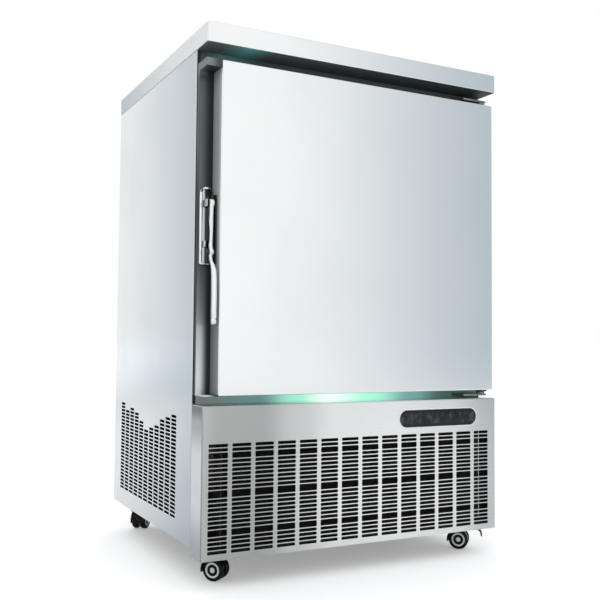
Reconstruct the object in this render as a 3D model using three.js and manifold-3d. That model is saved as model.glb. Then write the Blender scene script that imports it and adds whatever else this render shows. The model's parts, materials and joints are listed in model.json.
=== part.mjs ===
// Reach-in blast chiller on castors: an insulated stainless cabinet with a hinged, latched door,
// a worktop that overhangs the door, and a machine compartment behind a louvred lower panel.
// Millimetres, +Z up, +X to the right, the door faces -Y. The origin is the middle of the footprint,
// on the floor. Inside the cabinet group, y is measured from the worktop's front edge.
import * as THREE from 'three';
import { mergeGeometries, mergeVertices } from 'three/addons/utils/BufferGeometryUtils.js';
import Module from 'manifold-3d';

const wasm = await Module();
wasm.setup();

// ---- Driving dimensions: cabinet -------------------------------------------------------------
const cabinetWidth = 800;
const cabinetDepth = 700;
const bodyHeight = 1170;
const castorHeight = 65;
const worktopThickness = 47;
const overhang = 66;
const faceSetback = 2;
const sheet = 1.5;
const seat = 0.3;
const backInset = 12;
const worktopLip = 20;
const worktopCutDepth = 23.5;
const sidePanelLift = 17;
const sideReturn = 8;
const lowerPanelHeight = 330;
const lowerPanelFoot = 20;
const wall = 62;
const deckRise = 5;
const frameDepth = 12;
const frameLap = 8;
const frameRailHeight = 60;
const glandNutRadius = 15;
const glandRadius = 10;
const glandSide = 200;
const glandRise = 24;

// ---- Driving dimensions: base and castors ----------------------------------------------------
const baseInset = 28;
const baseRailWidth = 66;
const castorInset = 60;
const frontCastorSetback = 102;
const rearCastorInset = 50;
const castorPlateSize = 60;
const castorPlateThickness = 3;
const bearingRadius = 19;
const stemRadius = 14;
const bearingHeight = 6;
const forkCrownThickness = 4;
const forkWidth = 40;
const hoodGap = 1.5;
const hoodThickness = 3;
const hoodStart = -12;
const hoodEnd = 100;
const forkWebThickness = 7;
const castorTrail = 18;
const wheelDiameter = 50;
const wheelWidth = 16;
const wheelShoulder = 5;
const wheelInnerShoulder = 1.7;
const axleDiameter = 7;
const runningGap = 0.6;
const frontLeftSwivel = 40;
const frontRightSwivel = 45;
const rearLeftSwivel = 140;
const rearRightSwivel = -60;
const brakeReach = 47;
const brakeDrop = 20;
const brakeWidth = 14;
const brakeThickness = 4;
const brakeToe = 12.5;
const brakeToeThickness = 2.8;
const brakePinDiameter = 3;
const brakeKnuckle = 2.6;
const brakeCheek = 3;

// ---- Driving dimensions: door ----------------------------------------------------------------
const doorGapBelow = 20;
const doorGapAbove = 34;
const doorSideGap = 8;
const doorDepth = 57;
const channelWidth = 36;
const channelTopCap = 18;
const channelBottomCap = 3;
const flangeThickness = 7;
const channelLip = 3;
const hingeInset = 18;
const hingeSetback = 25;
const hingePinDiameter = 12;
const hingePinReach = 24;
const hingePlateThickness = 5;
const hingePlateLength = 72;
const hingePlateEnd = 9;
const hingePlateFront = 17;
const hingeBossHeight = 5;
const hingeLegHeight = 12;
const bushWall = 5;
const bushFlange = 4;
const gasketWidth = 20;

// ---- Driving dimensions: latch ---------------------------------------------------------------
const latchHeight = 174;
const latchRise = 287;
const latchWidth = 32;
const latchRim = 3.5;
const latchPlate = 4;
const latchReach = 30;
const leverPivotRise = 136;
const leverPivotOut = 22.5;
const leverSide = 10.5;
const leverLength = 276;
const leverLean = 4.4;
const leverHeadRadius = 8.5;
const leverWaistRadius = 4.6;
const leverGripRadius = 6.8;
const leverNeckDrop = 122;
const leverTipChamfer = 3;
const leverTipLength = 9;
const leverTipGroove = 3;
const leverGripLength = 60;
const leverNeckTaper = 14;
const leverNeckCollar = 5;
const leverShankLength = 40;
const leverCollarDrop = 29;
const leverCollarRadius = 6.1;
const leverPinDiameter = 6;
const tongueWidth = 8;
const tongueHeight = 16;
const tongueRise = 46;
const tongueSide = 20;
const strikeHeight = 58;
const strikeWidth = 24;
const strikeThickness = 3;
const tonguePocket = 8.4;
const tongueClearance = 1;
const tongueTail = 9;

// ---- Driving dimensions: lower panel, vents and display --------------------------------------
const grilleColumns = 14;
const grilleColumnPitch = 55;
const grilleShift = -3;
const grilleSlotWidth = 43;
const grilleSlotHeight = 5.2;
const grilleBar = 4.15;
const grilleBottom = 14.5;
const grilleSlotsPerGroup = [4, 7, 7, 2];
const tallOpeningHeights = [12, 14, 11];
const ventColumnPitch = 42.7;
const ventSetback = 186;
const ventRowPitch = 9.15;
const ventBottom = 64.3;
const ventSlotWidth = 32;
const ventSlotHeight = 5;
const ventColumnRows = [26, 25, 24, 22, 21, 20, 22, 24, 25, 24, 26];
const displayLength = 230;
const displayHeight = 40;
const displayRim = 3;
const displayInset = 178;
const displayRise = 285;
const displayDepth = 4;
const displayClearance = 1;
const controlBoxDepth = 50;
const controlBoxBelow = 24;
const controlBoxAbove = 30;
const controlBoxFlange = 14;
const controlBoxFlangeHeight = 4;

// ---- Driving dimensions: machine compartment -------------------------------------------------
const coilDepth = 44;
const coilSetback = 14;
const coilWidth = 700;
const coilHeight = 230;
const condenserFanRadius = 100;
const condenserFanSide = -140;
const fanTipGap = 5;
const shroudDepth = 34;
const fanHubRadius = 24;
const condenserFanBlades = 4;
const condenserBladeWidth = 62;
const bladeRootRadius = 14.4;
const fanMotorRadius = 32;
const condenserMotorLength = 52;
const fanBridgeWidth = 20;
const fanBridgeThickness = 3;
const shaftDiameter = 8;
const compressorRadius = 82;
const compressorHeight = 200;
const compressorFootHeight = 12;
const compressorFootPlate = 5;
const compressorFootReach = 18;
const compressorFootShare = 0.7;
const compressorPadRadius = 12;
const compressorPadInset = 14;
const compressorSeamRise = 102;
const compressorSeamWidth = 4;
const compressorSeamHeight = 5;
const compressorSide = 130;
const compressorSetback = 330;
const receiverRadius = 42;
const receiverHeight = 190;
const receiverEndRadius = 33.6;
const receiverFoot = 6;
const receiverCap = 10;
const receiverSide = -200;
const receiverSetback = 420;
const pipeRadius = 5;
const pipeRise = 140;
const pipeClimb = 20;
const pipeLead = 30;
const pipeRun = 70;
const serviceSlots = 8;
const serviceSlotPitch = 24;
const serviceSlotHeight = 11;
const serviceSlotLength = 265;
const serviceSlotFoot = 60;

// ---- Driving dimensions: chamber fittings ----------------------------------------------------
const ductDepth = 95;
const evaporatorFanRadius = 88;
const evaporatorFanPitch = 300;
const evaporatorFanDepth = 14;
const evaporatorFanBlades = 5;
const evaporatorBladeWidth = 54;
const evaporatorEndPlate = 3;
const evaporatorDepth = 46;
const evaporatorMargin = 30;
const dripTrayHeight = 16;
const rackLevels = 7;
const rackTopGap = 16;
const rackBottom = 60;
const rackLedge = 48;
const rackPost = 30;
const rackPostWidth = 20;
const rackRearGap = 40;
const rackRailHeight = 20;
const rackFrontSetback = 112;
const rackCoverGap = 19;

// ---- Levels and faces that follow from them --------------------------------------------------
const halfWidth = cabinetWidth / 2;
const displaySide = halfWidth - displayInset;
const rearCastorSetback = cabinetDepth - rearCastorInset;
const topZ = castorHeight + bodyHeight;
const worktopUnderZ = topZ - worktopThickness;
const lowerPanelTopZ = castorHeight + lowerPanelHeight;
const sideBottomZ = castorHeight + sidePanelLift;
const doorBottomZ = lowerPanelTopZ + doorGapBelow;
const doorTopZ = worktopUnderZ - doorGapAbove;
const doorHeight = doorTopZ - doorBottomZ;
const deckZ = lowerPanelTopZ + deckRise;
const innerX = halfWidth - sheet - seat;
const backY = cabinetDepth - backInset;
const chamberX = halfWidth - wall;
const chamberFloorZ = deckZ + wall;
const chamberTopZ = worktopUnderZ - wall;
const rackPitch = (chamberTopZ - chamberFloorZ - rackBottom - rackTopGap) / rackLevels;
const chamberFrontY = overhang + frameDepth + seat;
const chamberBackY = backY - wall;
const coverY = chamberBackY - ductDepth;
const rackLength = coverY - rackCoverGap - rackFrontSetback;
const openingX = chamberX - frameLap;
const openingBottomZ = chamberFloorZ + frameLap;
const openingTopZ = chamberTopZ - frameLap;
const panY = faceSetback + sheet + seat;
const panTopZ = sideBottomZ + sheet;
const hingeX = halfWidth - doorSideGap - hingeInset;
const hingeY = faceSetback + hingeSetback;
const doorBackY = faceSetback + doorDepth;
// How far a cutting shape runs past the face that it opens.
const past = 1;

const steel = { color: 0xc9cdd0, roughness: 0.34, metalness: 0.9 };
const innerSteel = { color: 0xb9bec2, roughness: 0.42, metalness: 0.85 };
const zinc = { color: 0x9aa1a6, roughness: 0.5, metalness: 0.8 };
const chrome = { color: 0xdfe3e6, roughness: 0.12, metalness: 1.0 };
const foam = { color: 0xd9c98f, roughness: 0.95, metalness: 0.0 };
const board = { color: 0x8a7a5e, roughness: 0.9, metalness: 0.0 };
const rubber = { color: 0x17181a, roughness: 0.8, metalness: 0.0 };
const blackPlastic = { color: 0x141518, roughness: 0.45, metalness: 0.0 };
const greyPlastic = { color: 0xb7babd, roughness: 0.5, metalness: 0.0 };
const blackGlass = { color: 0x0b0d10, roughness: 0.08, metalness: 0.0 };
const blackEnamel = { color: 0x1a1b1e, roughness: 0.3, metalness: 0.2 };
const copper = { color: 0xb87046, roughness: 0.35, metalness: 0.9 };
const fins = { color: 0x8c8578, roughness: 0.6, metalness: 0.7 };

// ---- Shape helpers ---------------------------------------------------------------------------
// A closed geometry as a solid that can be joined and cut.
function solid(shape) {
  if (!shape.isBufferGeometry) return shape;
  const bare = new THREE.BufferGeometry();
  bare.setAttribute('position', shape.getAttribute('position').clone());
  if (shape.index) bare.setIndex(shape.index.clone());
  const welded = mergeVertices(bare, 1e-4);
  return new wasm.Manifold(new wasm.Mesh({
    numProp: 3,
    vertProperties: Float32Array.from(welded.getAttribute('position').array),
    triVerts: Uint32Array.from(welded.index.array),
  }));
}

const join = (first, ...others) => others.reduce((sum, other) => sum.add(solid(other)), solid(first));
const cut = (first, ...tools) => tools.reduce((rest, tool) => rest.subtract(solid(tool)), solid(first));

function geometryOf(shape) {
  if (shape.isBufferGeometry) return shape;
  const { vertProperties, triVerts } = shape.getMesh();
  const geometry = new THREE.BufferGeometry();
  geometry.setAttribute('position', new THREE.BufferAttribute(vertProperties, 3));
  geometry.setIndex(new THREE.BufferAttribute(triVerts, 1));
  return geometry;
}

function piece(parent, name, shape, finish) {
  const mesh = new THREE.Mesh(geometryOf(shape), new THREE.MeshStandardMaterial(finish));
  mesh.name = name;
  parent.add(mesh);
  return mesh;
}

function block([x0, x1], [y0, y1], [z0, z1]) {
  const box = new THREE.BoxGeometry(x1 - x0, y1 - y0, z1 - z0);
  return box.translate((x0 + x1) / 2, (y0 + y1) / 2, (z0 + z1) / 2);
}

// A round bar along one axis; centre gives the other two coordinates in X, Y, Z order.
function rod(axis, radius, [low, high], [first, second], sides = 20) {
  const bar = new THREE.CylinderGeometry(radius, radius, high - low, sides);
  const middle = (low + high) / 2;
  if (axis === 'x') return bar.rotateZ(Math.PI / 2).translate(middle, first, second);
  if (axis === 'z') return bar.rotateX(Math.PI / 2).translate(first, second, middle);
  return bar.translate(first, middle, second);
}

// An outline in X and Z, thickened from frontY towards the back.
function plateXZ(outline, frontY, thickness) {
  const options = { depth: thickness, bevelEnabled: false, curveSegments: 8 };
  const plate = new THREE.ExtrudeGeometry(outline, options);
  return plate.rotateX(Math.PI / 2).translate(0, frontY + thickness, 0);
}

// An outline in Y and Z, thickened from leftX to the right.
function plateYZ(outline, leftX, thickness, curveSegments = 8) {
  const options = { depth: thickness, bevelEnabled: false, curveSegments };
  const plate = new THREE.ExtrudeGeometry(outline, options);
  const turn = new THREE.Matrix4().makeBasis(
    new THREE.Vector3(0, 1, 0),
    new THREE.Vector3(0, 0, 1),
    new THREE.Vector3(1, 0, 0),
  );
  return plate.applyMatrix4(turn).translate(leftX, 0, 0);
}

function rectangle(path, [u0, u1], [v0, v1]) {
  path.moveTo(u0, v0);
  path.lineTo(u1, v0);
  path.lineTo(u1, v1);
  path.lineTo(u0, v1);
  path.closePath();
  return path;
}

// A slot with round ends, as an outline or as a hole.
function obround(path, centreU, centreV, length, height) {
  const radius = height / 2;
  const reach = length / 2 - radius;
  path.moveTo(centreU - reach, centreV - radius);
  path.lineTo(centreU + reach, centreV - radius);
  path.absarc(centreU + reach, centreV, radius, -Math.PI / 2, Math.PI / 2, false);
  path.lineTo(centreU - reach, centreV + radius);
  path.absarc(centreU - reach, centreV, radius, Math.PI / 2, Math.PI * 1.5, false);
  return path;
}

// A tray of bent sheet: a rectangle of sheet with upstands towards +Y on its four edges.
function foldedTray([x0, x1], [frontY, backEdgeY], [z0, z1]) {
  const outer = block([x0, x1], [frontY, backEdgeY], [z0, z1]);
  const hollow = block(
    [x0 + sheet, x1 - sheet],
    [frontY + sheet, backEdgeY + past],
    [z0 + sheet, z1 - sheet],
  );
  return cut(outer, hollow);
}

// A fan: a hub on the Y axis with tilted blades; the bore takes the motor's shaft.
function fanShape(tipRadius, depth, blades, bladeWidth) {
  let fan = solid(rod('y', fanHubRadius, [0, depth], [0, 0], 12));
  for (let blade = 0; blade < blades; blade += 1) {
    const paddle = new THREE.BoxGeometry(bladeWidth, sheet, tipRadius - bladeRootRadius);
    paddle.rotateZ(Math.atan2(depth - 2 * sheet, bladeWidth));
    paddle.translate(0, depth / 2, (tipRadius + bladeRootRadius) / 2);
    paddle.rotateY((blade / blades) * Math.PI * 2);
    fan = fan.add(solid(paddle));
  }
  const sweep = solid(rod('y', tipRadius, [-depth, 2 * depth], [0, 0], 24));
  const bore = rod('y', shaftDiameter / 2 + runningGap, [depth / 3, depth * 2], [0, 0], 12);
  return cut(fan.intersect(sweep), bore);
}

// A motor behind a fan, with its shaft and a bridge whose two feet reach forward to footY.
function fanMotorShape(depth, length, bridgeReach, footY) {
  const bridgeY = depth + 2 * runningGap;
  const bridgeBack = bridgeY + fanBridgeThickness;
  const bridgeX = [-fanBridgeWidth / 2, fanBridgeWidth / 2];
  return join(
    rod('y', fanMotorRadius, [bridgeBack - sheet, bridgeBack + length], [0, 0], 16),
    rod('y', shaftDiameter / 2, [depth / 3 + runningGap, bridgeBack], [0, 0], 12),
    block(bridgeX, [bridgeY, bridgeBack], [-bridgeReach, bridgeReach]),
    ...[-1, 1].map((side) => block(bridgeX, [footY, bridgeBack], [
      side * bridgeReach - fanBridgeThickness,
      side * bridgeReach + fanBridgeThickness,
    ])),
  );
}

const chiller = new THREE.Group();
const cabinet = new THREE.Group();
cabinet.position.y = -cabinetDepth / 2;
chiller.add(cabinet);

// ---- Worktop: a folded stainless pan over a board core ----------------------------------------
function buildWorktop() {
  const hollowX = halfWidth - sheet;
  const hollowY = [sheet, cabinetDepth - sheet];
  const hollowZ = [worktopUnderZ + sheet, topZ - sheet];
  const pan = cut(
    block([-halfWidth, halfWidth], [0, cabinetDepth], [worktopUnderZ, topZ]),
    block([-hollowX, hollowX], hollowY, hollowZ),
    block(
      [worktopLip - halfWidth, halfWidth - worktopLip],
      [overhang + worktopLip, cabinetDepth - worktopLip],
      [worktopUnderZ - past, worktopUnderZ + worktopCutDepth],
    ),
  );
  piece(cabinet, 'worktop', pan, steel);
  const core = block(
    [seat - hollowX, hollowX - seat],
    [hollowY[0] + seat, hollowY[1] - seat],
    [hollowZ[0] + seat, hollowZ[1] - seat],
  );
  piece(cabinet, 'worktop_core', core, board);
}

// ---- Side panels, back panel and rear service cover -------------------------------------------
function sidePanel(side) {
  const edges = (from, to) => [side * (halfWidth - from), side * (halfWidth - to)].sort((a, b) => a - b);
  const panelZ = [sideBottomZ, worktopUnderZ - seat];
  return join(
    block(edges(0, sheet), [overhang, cabinetDepth], panelZ),
    block(edges(0, sideReturn), [overhang, overhang + sheet], [lowerPanelTopZ, panelZ[1]]),
    block(edges(0, sideReturn), [cabinetDepth - sheet, cabinetDepth], panelZ),
  );
}

function sideVents() {
  const slots = [];
  ventColumnRows.forEach((rows, column) => {
    const y = ventSetback + column * ventColumnPitch;
    for (let row = 0; row < rows; row += 1) {
      const z = castorHeight + ventBottom + row * ventRowPitch;
      slots.push(block(
        [-halfWidth - sheet, 2 * sheet - halfWidth],
        [y - ventSlotWidth / 2, y + ventSlotWidth / 2],
        [z - ventSlotHeight / 2, z + ventSlotHeight / 2],
      ));
    }
  });
  return mergeGeometries(slots);
}

function buildSidePanels() {
  piece(cabinet, 'left_side_panel', cut(sidePanel(-1), sideVents()), steel);
  piece(cabinet, 'right_side_panel', sidePanel(1), steel);
}

function buildBack() {
  const panel = block([-innerX, innerX], [backY - sheet, backY], [deckZ, worktopUnderZ - seat]);
  piece(cabinet, 'back_panel', panel, zinc);
  const coverZ = [panTopZ + seat, deckZ - seat];
  const slotReach = serviceSlotLength / 2;
  const slots = [];
  for (const middle of [-innerX / 2, innerX / 2]) {
    for (let row = 0; row < serviceSlots; row += 1) {
      const z = coverZ[0] + serviceSlotFoot + serviceSlotPitch * row;
      slots.push(block(
        [middle - slotReach, middle + slotReach],
        [backY - 2 * sheet, backY + sheet],
        [z - serviceSlotHeight / 2, z + serviceSlotHeight / 2],
      ));
    }
  }
  const cover = block([-innerX, innerX], [backY - sheet, backY], coverZ);
  piece(cabinet, 'rear_service_cover', cut(cover, mergeGeometries(slots)), zinc);
  const glandZ = panTopZ + glandRise;
  const gland = join(
    rod('y', glandNutRadius, [backY + seat, cabinetDepth - sheet * 2], [glandSide, glandZ], 16),
    rod('y', glandRadius, [backY + seat, cabinetDepth], [glandSide, glandZ], 16),
  );
  piece(cabinet, 'mains_gland', gland, blackPlastic);
}

// ---- Insulated box: foam, chamber liner and the front frame -----------------------------------
function buildInsulatedBox() {
  const linerX = chamberX + sheet;
  const linerY = [chamberFrontY, chamberBackY + sheet];
  const linerZ = [chamberFloorZ - sheet, chamberTopZ + sheet];
  const foamBox = cut(
    block(
      [-innerX, innerX],
      [chamberFrontY, backY - sheet - seat],
      [deckZ + sheet, worktopUnderZ - seat],
    ),
    block(
      [-linerX - seat, linerX + seat],
      [chamberFrontY - past, linerY[1] + seat],
      [linerZ[0] - seat, linerZ[1] + seat],
    ),
  );
  piece(cabinet, 'insulation', foamBox, foam);
  const liner = cut(
    block([-linerX, linerX], linerY, linerZ),
    block(
      [-chamberX, chamberX],
      [chamberFrontY - past, chamberBackY],
      [chamberFloorZ, chamberTopZ],
    ),
  );
  piece(cabinet, 'inner_liner', liner, innerSteel);
  piece(cabinet, 'machine_ceiling', block(
    [-innerX, innerX],
    [overhang + frameDepth + seat, backY - sheet - seat],
    [deckZ - seat, deckZ + sheet - seat],
  ), zinc);
  const frameX = halfWidth - sideReturn - seat;
  const tongueReach = tongueWidth / 2 + tongueClearance;
  const tongueMiddleX = hingeX + latchRightX - tongueSide;
  const tongueX = [tongueMiddleX - tongueReach, tongueMiddleX + tongueReach];
  const tongueMiddleZ = doorBottomZ + latchRise + tongueRise;
  const tongueZ = [
    tongueMiddleZ - tongueHeight / 2 - tongueClearance,
    tongueMiddleZ + tongueHeight / 2 + tongueClearance,
  ];
  const frame = cut(
    block(
      [-frameX, frameX],
      [overhang, overhang + frameDepth],
      [lowerPanelTopZ - frameRailHeight, worktopUnderZ - seat],
    ),
    block([-openingX, openingX], [overhang - past, chamberFrontY], [openingBottomZ, openingTopZ]),
    block(tongueX, [overhang - past, overhang + tonguePocket], tongueZ),
  );
  piece(cabinet, 'front_frame', frame, steel);
  const strike = cut(
    block(
      [tongueMiddleX - strikeWidth / 2, tongueMiddleX + strikeWidth / 2],
      [overhang - seat - strikeThickness, overhang - seat],
      [tongueMiddleZ - strikeHeight / 2, tongueMiddleZ + strikeHeight / 2],
    ),
    block(tongueX, [0, overhang], tongueZ),
  );
  piece(cabinet, 'latch_strike', strike, chrome);
}

// ---- Hinge brackets: a plate with a leg on the frame and a pivot pin ---------------------------
function hingeBracket(plateZ, bossZ, pinZ, legZ) {
  const plateX = [hingeX + hingePlateEnd - hingePlateLength, hingeX + hingePlateEnd];
  return join(
    block(plateX, [hingePlateFront, overhang - seat], plateZ),
    block(plateX, [overhang - seat - sheet * 2, overhang - seat], legZ),
    rod('z', hingePlateEnd, bossZ, [hingeX, hingeY], 16),
    rod('z', hingePinDiameter / 2, pinZ, [hingeX, hingeY], 16),
  );
}

function buildHingeBrackets() {
  const topBossZ = doorTopZ + bushFlange + 2 * seat;
  const topPlateZ = topBossZ + hingeBossHeight;
  piece(cabinet, 'top_hinge_bracket', hingeBracket(
    [topPlateZ, topPlateZ + hingePlateThickness],
    [topBossZ, topPlateZ + hingePlateThickness / 2],
    [doorTopZ - hingePinReach, topPlateZ],
    [topPlateZ, topPlateZ + hingePlateThickness + hingeLegHeight],
  ), steel);
  const bottomBossZ = doorBottomZ - bushFlange - 2 * seat;
  const bottomPlateZ = bottomBossZ - hingeBossHeight;
  piece(cabinet, 'bottom_hinge_bracket', hingeBracket(
    [bottomPlateZ - hingePlateThickness, bottomPlateZ],
    [bottomPlateZ - hingePlateThickness / 2, bottomBossZ],
    [bottomPlateZ, doorBottomZ + hingePinReach],
    [lowerPanelTopZ + seat, bottomPlateZ],
  ), steel);
}

// ---- Base: pan, frame and the lower front panel with its louvres -------------------------------
function buildBase() {
  const pan = block([-innerX, innerX], [panY, backY - sheet], [sideBottomZ, panTopZ]);
  piece(cabinet, 'base_pan', pan, zinc);
  const railX = halfWidth - baseInset;
  const railY = [lowerPanelFoot + faceSetback + seat, backY - sheet];
  const railZ = [castorHeight, sideBottomZ - seat];
  const rails = cut(
    block([-railX, railX], railY, railZ),
    block(
      [baseRailWidth - railX, railX - baseRailWidth],
      [frontCastorSetback + castorPlateSize, rearCastorSetback - castorPlateSize],
      [railZ[0] - past, railZ[1] + past],
    ),
  );
  piece(cabinet, 'base_frame', rails, zinc);
}

// Every opening of one grille column from the bottom up, as pairs of low and high Z.
function grilleOpenings() {
  const openings = [];
  let z = castorHeight + grilleBottom;
  const add = (height) => {
    openings.push([z, z + height]);
    z += height + grilleBar;
  };
  grilleSlotsPerGroup.forEach((count, group) => {
    for (let slot = 0; slot < count; slot += 1) add(grilleSlotHeight);
    if (group < tallOpeningHeights.length) add(tallOpeningHeights[group]);
  });
  return openings;
}

function grilleSlots() {
  const slots = [];
  const slotY = [faceSetback - past, faceSetback + sheet + past];
  const firstX = grilleShift - (grilleColumnPitch * (grilleColumns - 1)) / 2;
  for (let column = 0; column < grilleColumns; column += 1) {
    const x = firstX + column * grilleColumnPitch;
    const slotX = [x - grilleSlotWidth / 2, x + grilleSlotWidth / 2];
    for (const slotZ of grilleOpenings()) slots.push(block(slotX, slotY, slotZ));
  }
  return mergeGeometries(slots);
}

function buildLowerPanel() {
  const frontZ = [castorHeight, lowerPanelTopZ];
  const displayZ = castorHeight + displayRise;
  const fullX = [-halfWidth, halfWidth];
  const returnY = [faceSetback, overhang - 2 * seat];
  const footY = [faceSetback, faceSetback + lowerPanelFoot];
  const holeLength = displayLength + displayClearance;
  const holeHeight = displayHeight + displayClearance;
  const displayHole = obround(new THREE.Shape(), displaySide, displayZ, holeLength, holeHeight);
  const panel = cut(
    join(
      block(fullX, [faceSetback, faceSetback + sheet], frontZ),
      block([-halfWidth, sheet - halfWidth], returnY, frontZ),
      block([halfWidth - sheet, halfWidth], returnY, frontZ),
      block(fullX, returnY, [lowerPanelTopZ - sheet, lowerPanelTopZ]),
      block(fullX, footY, [castorHeight, castorHeight + sheet]),
    ),
    grilleSlots(),
    plateXZ(displayHole, faceSetback - past, sheet + 2 * past),
  );
  piece(cabinet, 'lower_front_panel', panel, steel);

  const rimLength = holeLength + 2 * displayRim;
  const rimHeight = holeHeight + 2 * displayRim;
  const rim = obround(new THREE.Shape(), displaySide, displayZ, rimLength, rimHeight);
  rim.holes.push(obround(new THREE.Path(), displaySide, displayZ, holeLength, holeHeight));
  piece(cabinet, 'display_bezel', plateXZ(rim, seat, faceSetback - 2 * seat), chrome);
  const lens = obround(new THREE.Shape(), displaySide, displayZ, displayLength, displayHeight);
  piece(cabinet, 'display_lens', plateXZ(lens, faceSetback / 2, displayDepth), blackGlass);
  const boxFrontY = faceSetback / 2 + displayDepth + seat;
  const boxReach = displayLength / 2;
  const flangeReach = boxReach + controlBoxFlange;
  const box = join(
    block(
      [displaySide - boxReach, displaySide + boxReach],
      [boxFrontY, boxFrontY + controlBoxDepth],
      [displayZ - controlBoxBelow, displayZ + controlBoxAbove],
    ),
    block(
      [displaySide - flangeReach, displaySide + flangeReach],
      [boxFrontY, boxFrontY + sheet],
      [
        displayZ - controlBoxBelow - controlBoxFlangeHeight,
        displayZ + controlBoxAbove + controlBoxFlangeHeight,
      ],
    ),
  );
  piece(cabinet, 'control_box', box, greyPlastic);
}

// ---- Machine compartment -----------------------------------------------------------------------
function buildCondenser() {
  const coilX = coilWidth / 2;
  const coilZ = [panTopZ + seat, panTopZ + seat + coilHeight];
  const coilY = [coilSetback, coilSetback + coilDepth];
  const coil = join(
    block(
      [-coilX, coilX],
      [coilY[0] + sheet, coilY[1] - sheet],
      [coilZ[0] + sheet, coilZ[1] - sheet],
    ),
    ...[-1, 1].map((side) => block([side * coilX - sheet, side * coilX + sheet], coilY, coilZ)),
  );
  piece(cabinet, 'condenser_coil', coil, fins);

  const shroudY = coilY[1] + seat;
  const fanZ = (coilZ[0] + coilZ[1]) / 2;
  const ringInner = condenserFanRadius + fanTipGap;
  const shroud = cut(
    join(
      block([-coilX, coilX], [shroudY, shroudY + sheet], coilZ),
      rod('y', ringInner + sheet, [shroudY, shroudY + shroudDepth], [condenserFanSide, fanZ], 32),
    ),
    rod('y', ringInner, [0, cabinetDepth], [condenserFanSide, fanZ], 32),
  );
  piece(cabinet, 'condenser_shroud', shroud, zinc);

  const fanY = shroudY + sheet + fanTipGap;
  const fanDepth = shroudDepth - fanTipGap * 2;
  const rotor = fanShape(condenserFanRadius, fanDepth, condenserFanBlades, condenserBladeWidth);
  const fan = piece(cabinet, 'condenser_fan', rotor, blackPlastic);
  fan.position.set(condenserFanSide, fanY, fanZ);
  const footY = shroudDepth - sheet - fanTipGap + seat;
  const bridgeStart = footY - 2 * runningGap;
  const motorShape = fanMotorShape(bridgeStart, condenserMotorLength, ringInner, footY);
  const motor = piece(cabinet, 'condenser_fan_motor', motorShape, blackEnamel);
  motor.position.set(condenserFanSide, fanY, fanZ);
}

function buildCompressor() {
  const unit = new THREE.Group();
  unit.position.set(compressorSide, compressorSetback, panTopZ + seat);
  cabinet.add(unit);
  const plateZ = [compressorFootHeight - compressorFootPlate, compressorFootHeight];
  const seamTopZ = compressorSeamRise + compressorSeamHeight;
  const seamRadius = compressorRadius + compressorSeamWidth;
  const shoulderZ = seamTopZ + (compressorHeight - seamTopZ) / 2;
  const crown = new THREE.Path();
  crown.moveTo(0, plateZ[0]);
  crown.lineTo(compressorRadius - compressorFootHeight, plateZ[0]);
  crown.lineTo(compressorRadius, compressorFootHeight * 2);
  crown.lineTo(compressorRadius, compressorSeamRise);
  crown.lineTo(seamRadius, compressorSeamRise);
  crown.lineTo(seamRadius, seamTopZ);
  crown.lineTo(compressorRadius, seamTopZ);
  crown.lineTo(compressorRadius, shoulderZ);
  crown.quadraticCurveTo(compressorRadius, compressorHeight, 0, compressorHeight);
  const dome = new THREE.LatheGeometry(crown.getPoints(4), 16).rotateX(Math.PI / 2);
  const halfX = compressorRadius + compressorFootReach;
  const halfY = halfX * compressorFootShare;
  const plate = block([-halfX, halfX], [-halfY, halfY], plateZ);
  const pads = [[-1, -1], [-1, 1], [1, -1], [1, 1]].map(([sx, sy]) => rod(
    'z',
    compressorPadRadius,
    [0, plateZ[0] + compressorFootPlate / 2],
    [sx * (halfX - compressorPadInset), sy * (halfY - compressorPadInset)],
    10,
  ));
  piece(unit, 'compressor', join(dome, plate, ...pads), blackEnamel);

  const receiver = join(
    rod('z', receiverRadius, [receiverFoot, receiverHeight - receiverCap], [0, 0]),
    rod('z', receiverEndRadius, [0, receiverHeight], [0, 0]),
  );
  const tank = piece(cabinet, 'liquid_receiver', receiver, blackEnamel);
  tank.position.set(receiverSide, receiverSetback, panTopZ + seat);

  // The pipe leaves the shell sideways, turns forward and ends on the condenser's back.
  const endY = coilSetback + coilDepth + sheet + 2 * seat - compressorSetback;
  const runX = compressorRadius + pipeRun;
  const runZ = pipeRise + pipeClimb;
  const path = new THREE.CatmullRomCurve3([
    new THREE.Vector3(compressorRadius + seat, 0, pipeRise),
    new THREE.Vector3(compressorRadius + pipeLead, 0, pipeRise),
    new THREE.Vector3(runX - pipeLead / 3, pipeLead - pipeRun - pipeClimb, pipeRise + pipeClimb / 2),
    new THREE.Vector3(runX, endY / 2, runZ),
    new THREE.Vector3(runX, endY + pipeLead, runZ),
    new THREE.Vector3(runX, endY, runZ),
  ]);
  const section = new THREE.Shape();
  section.absarc(0, 0, pipeRadius, 0, Math.PI * 2, false);
  piece(unit, 'refrigerant_pipe', new THREE.ExtrudeGeometry(section, {
    steps: 18,
    curveSegments: 4,
    extrudePath: path,
  }), copper);
}

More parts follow.
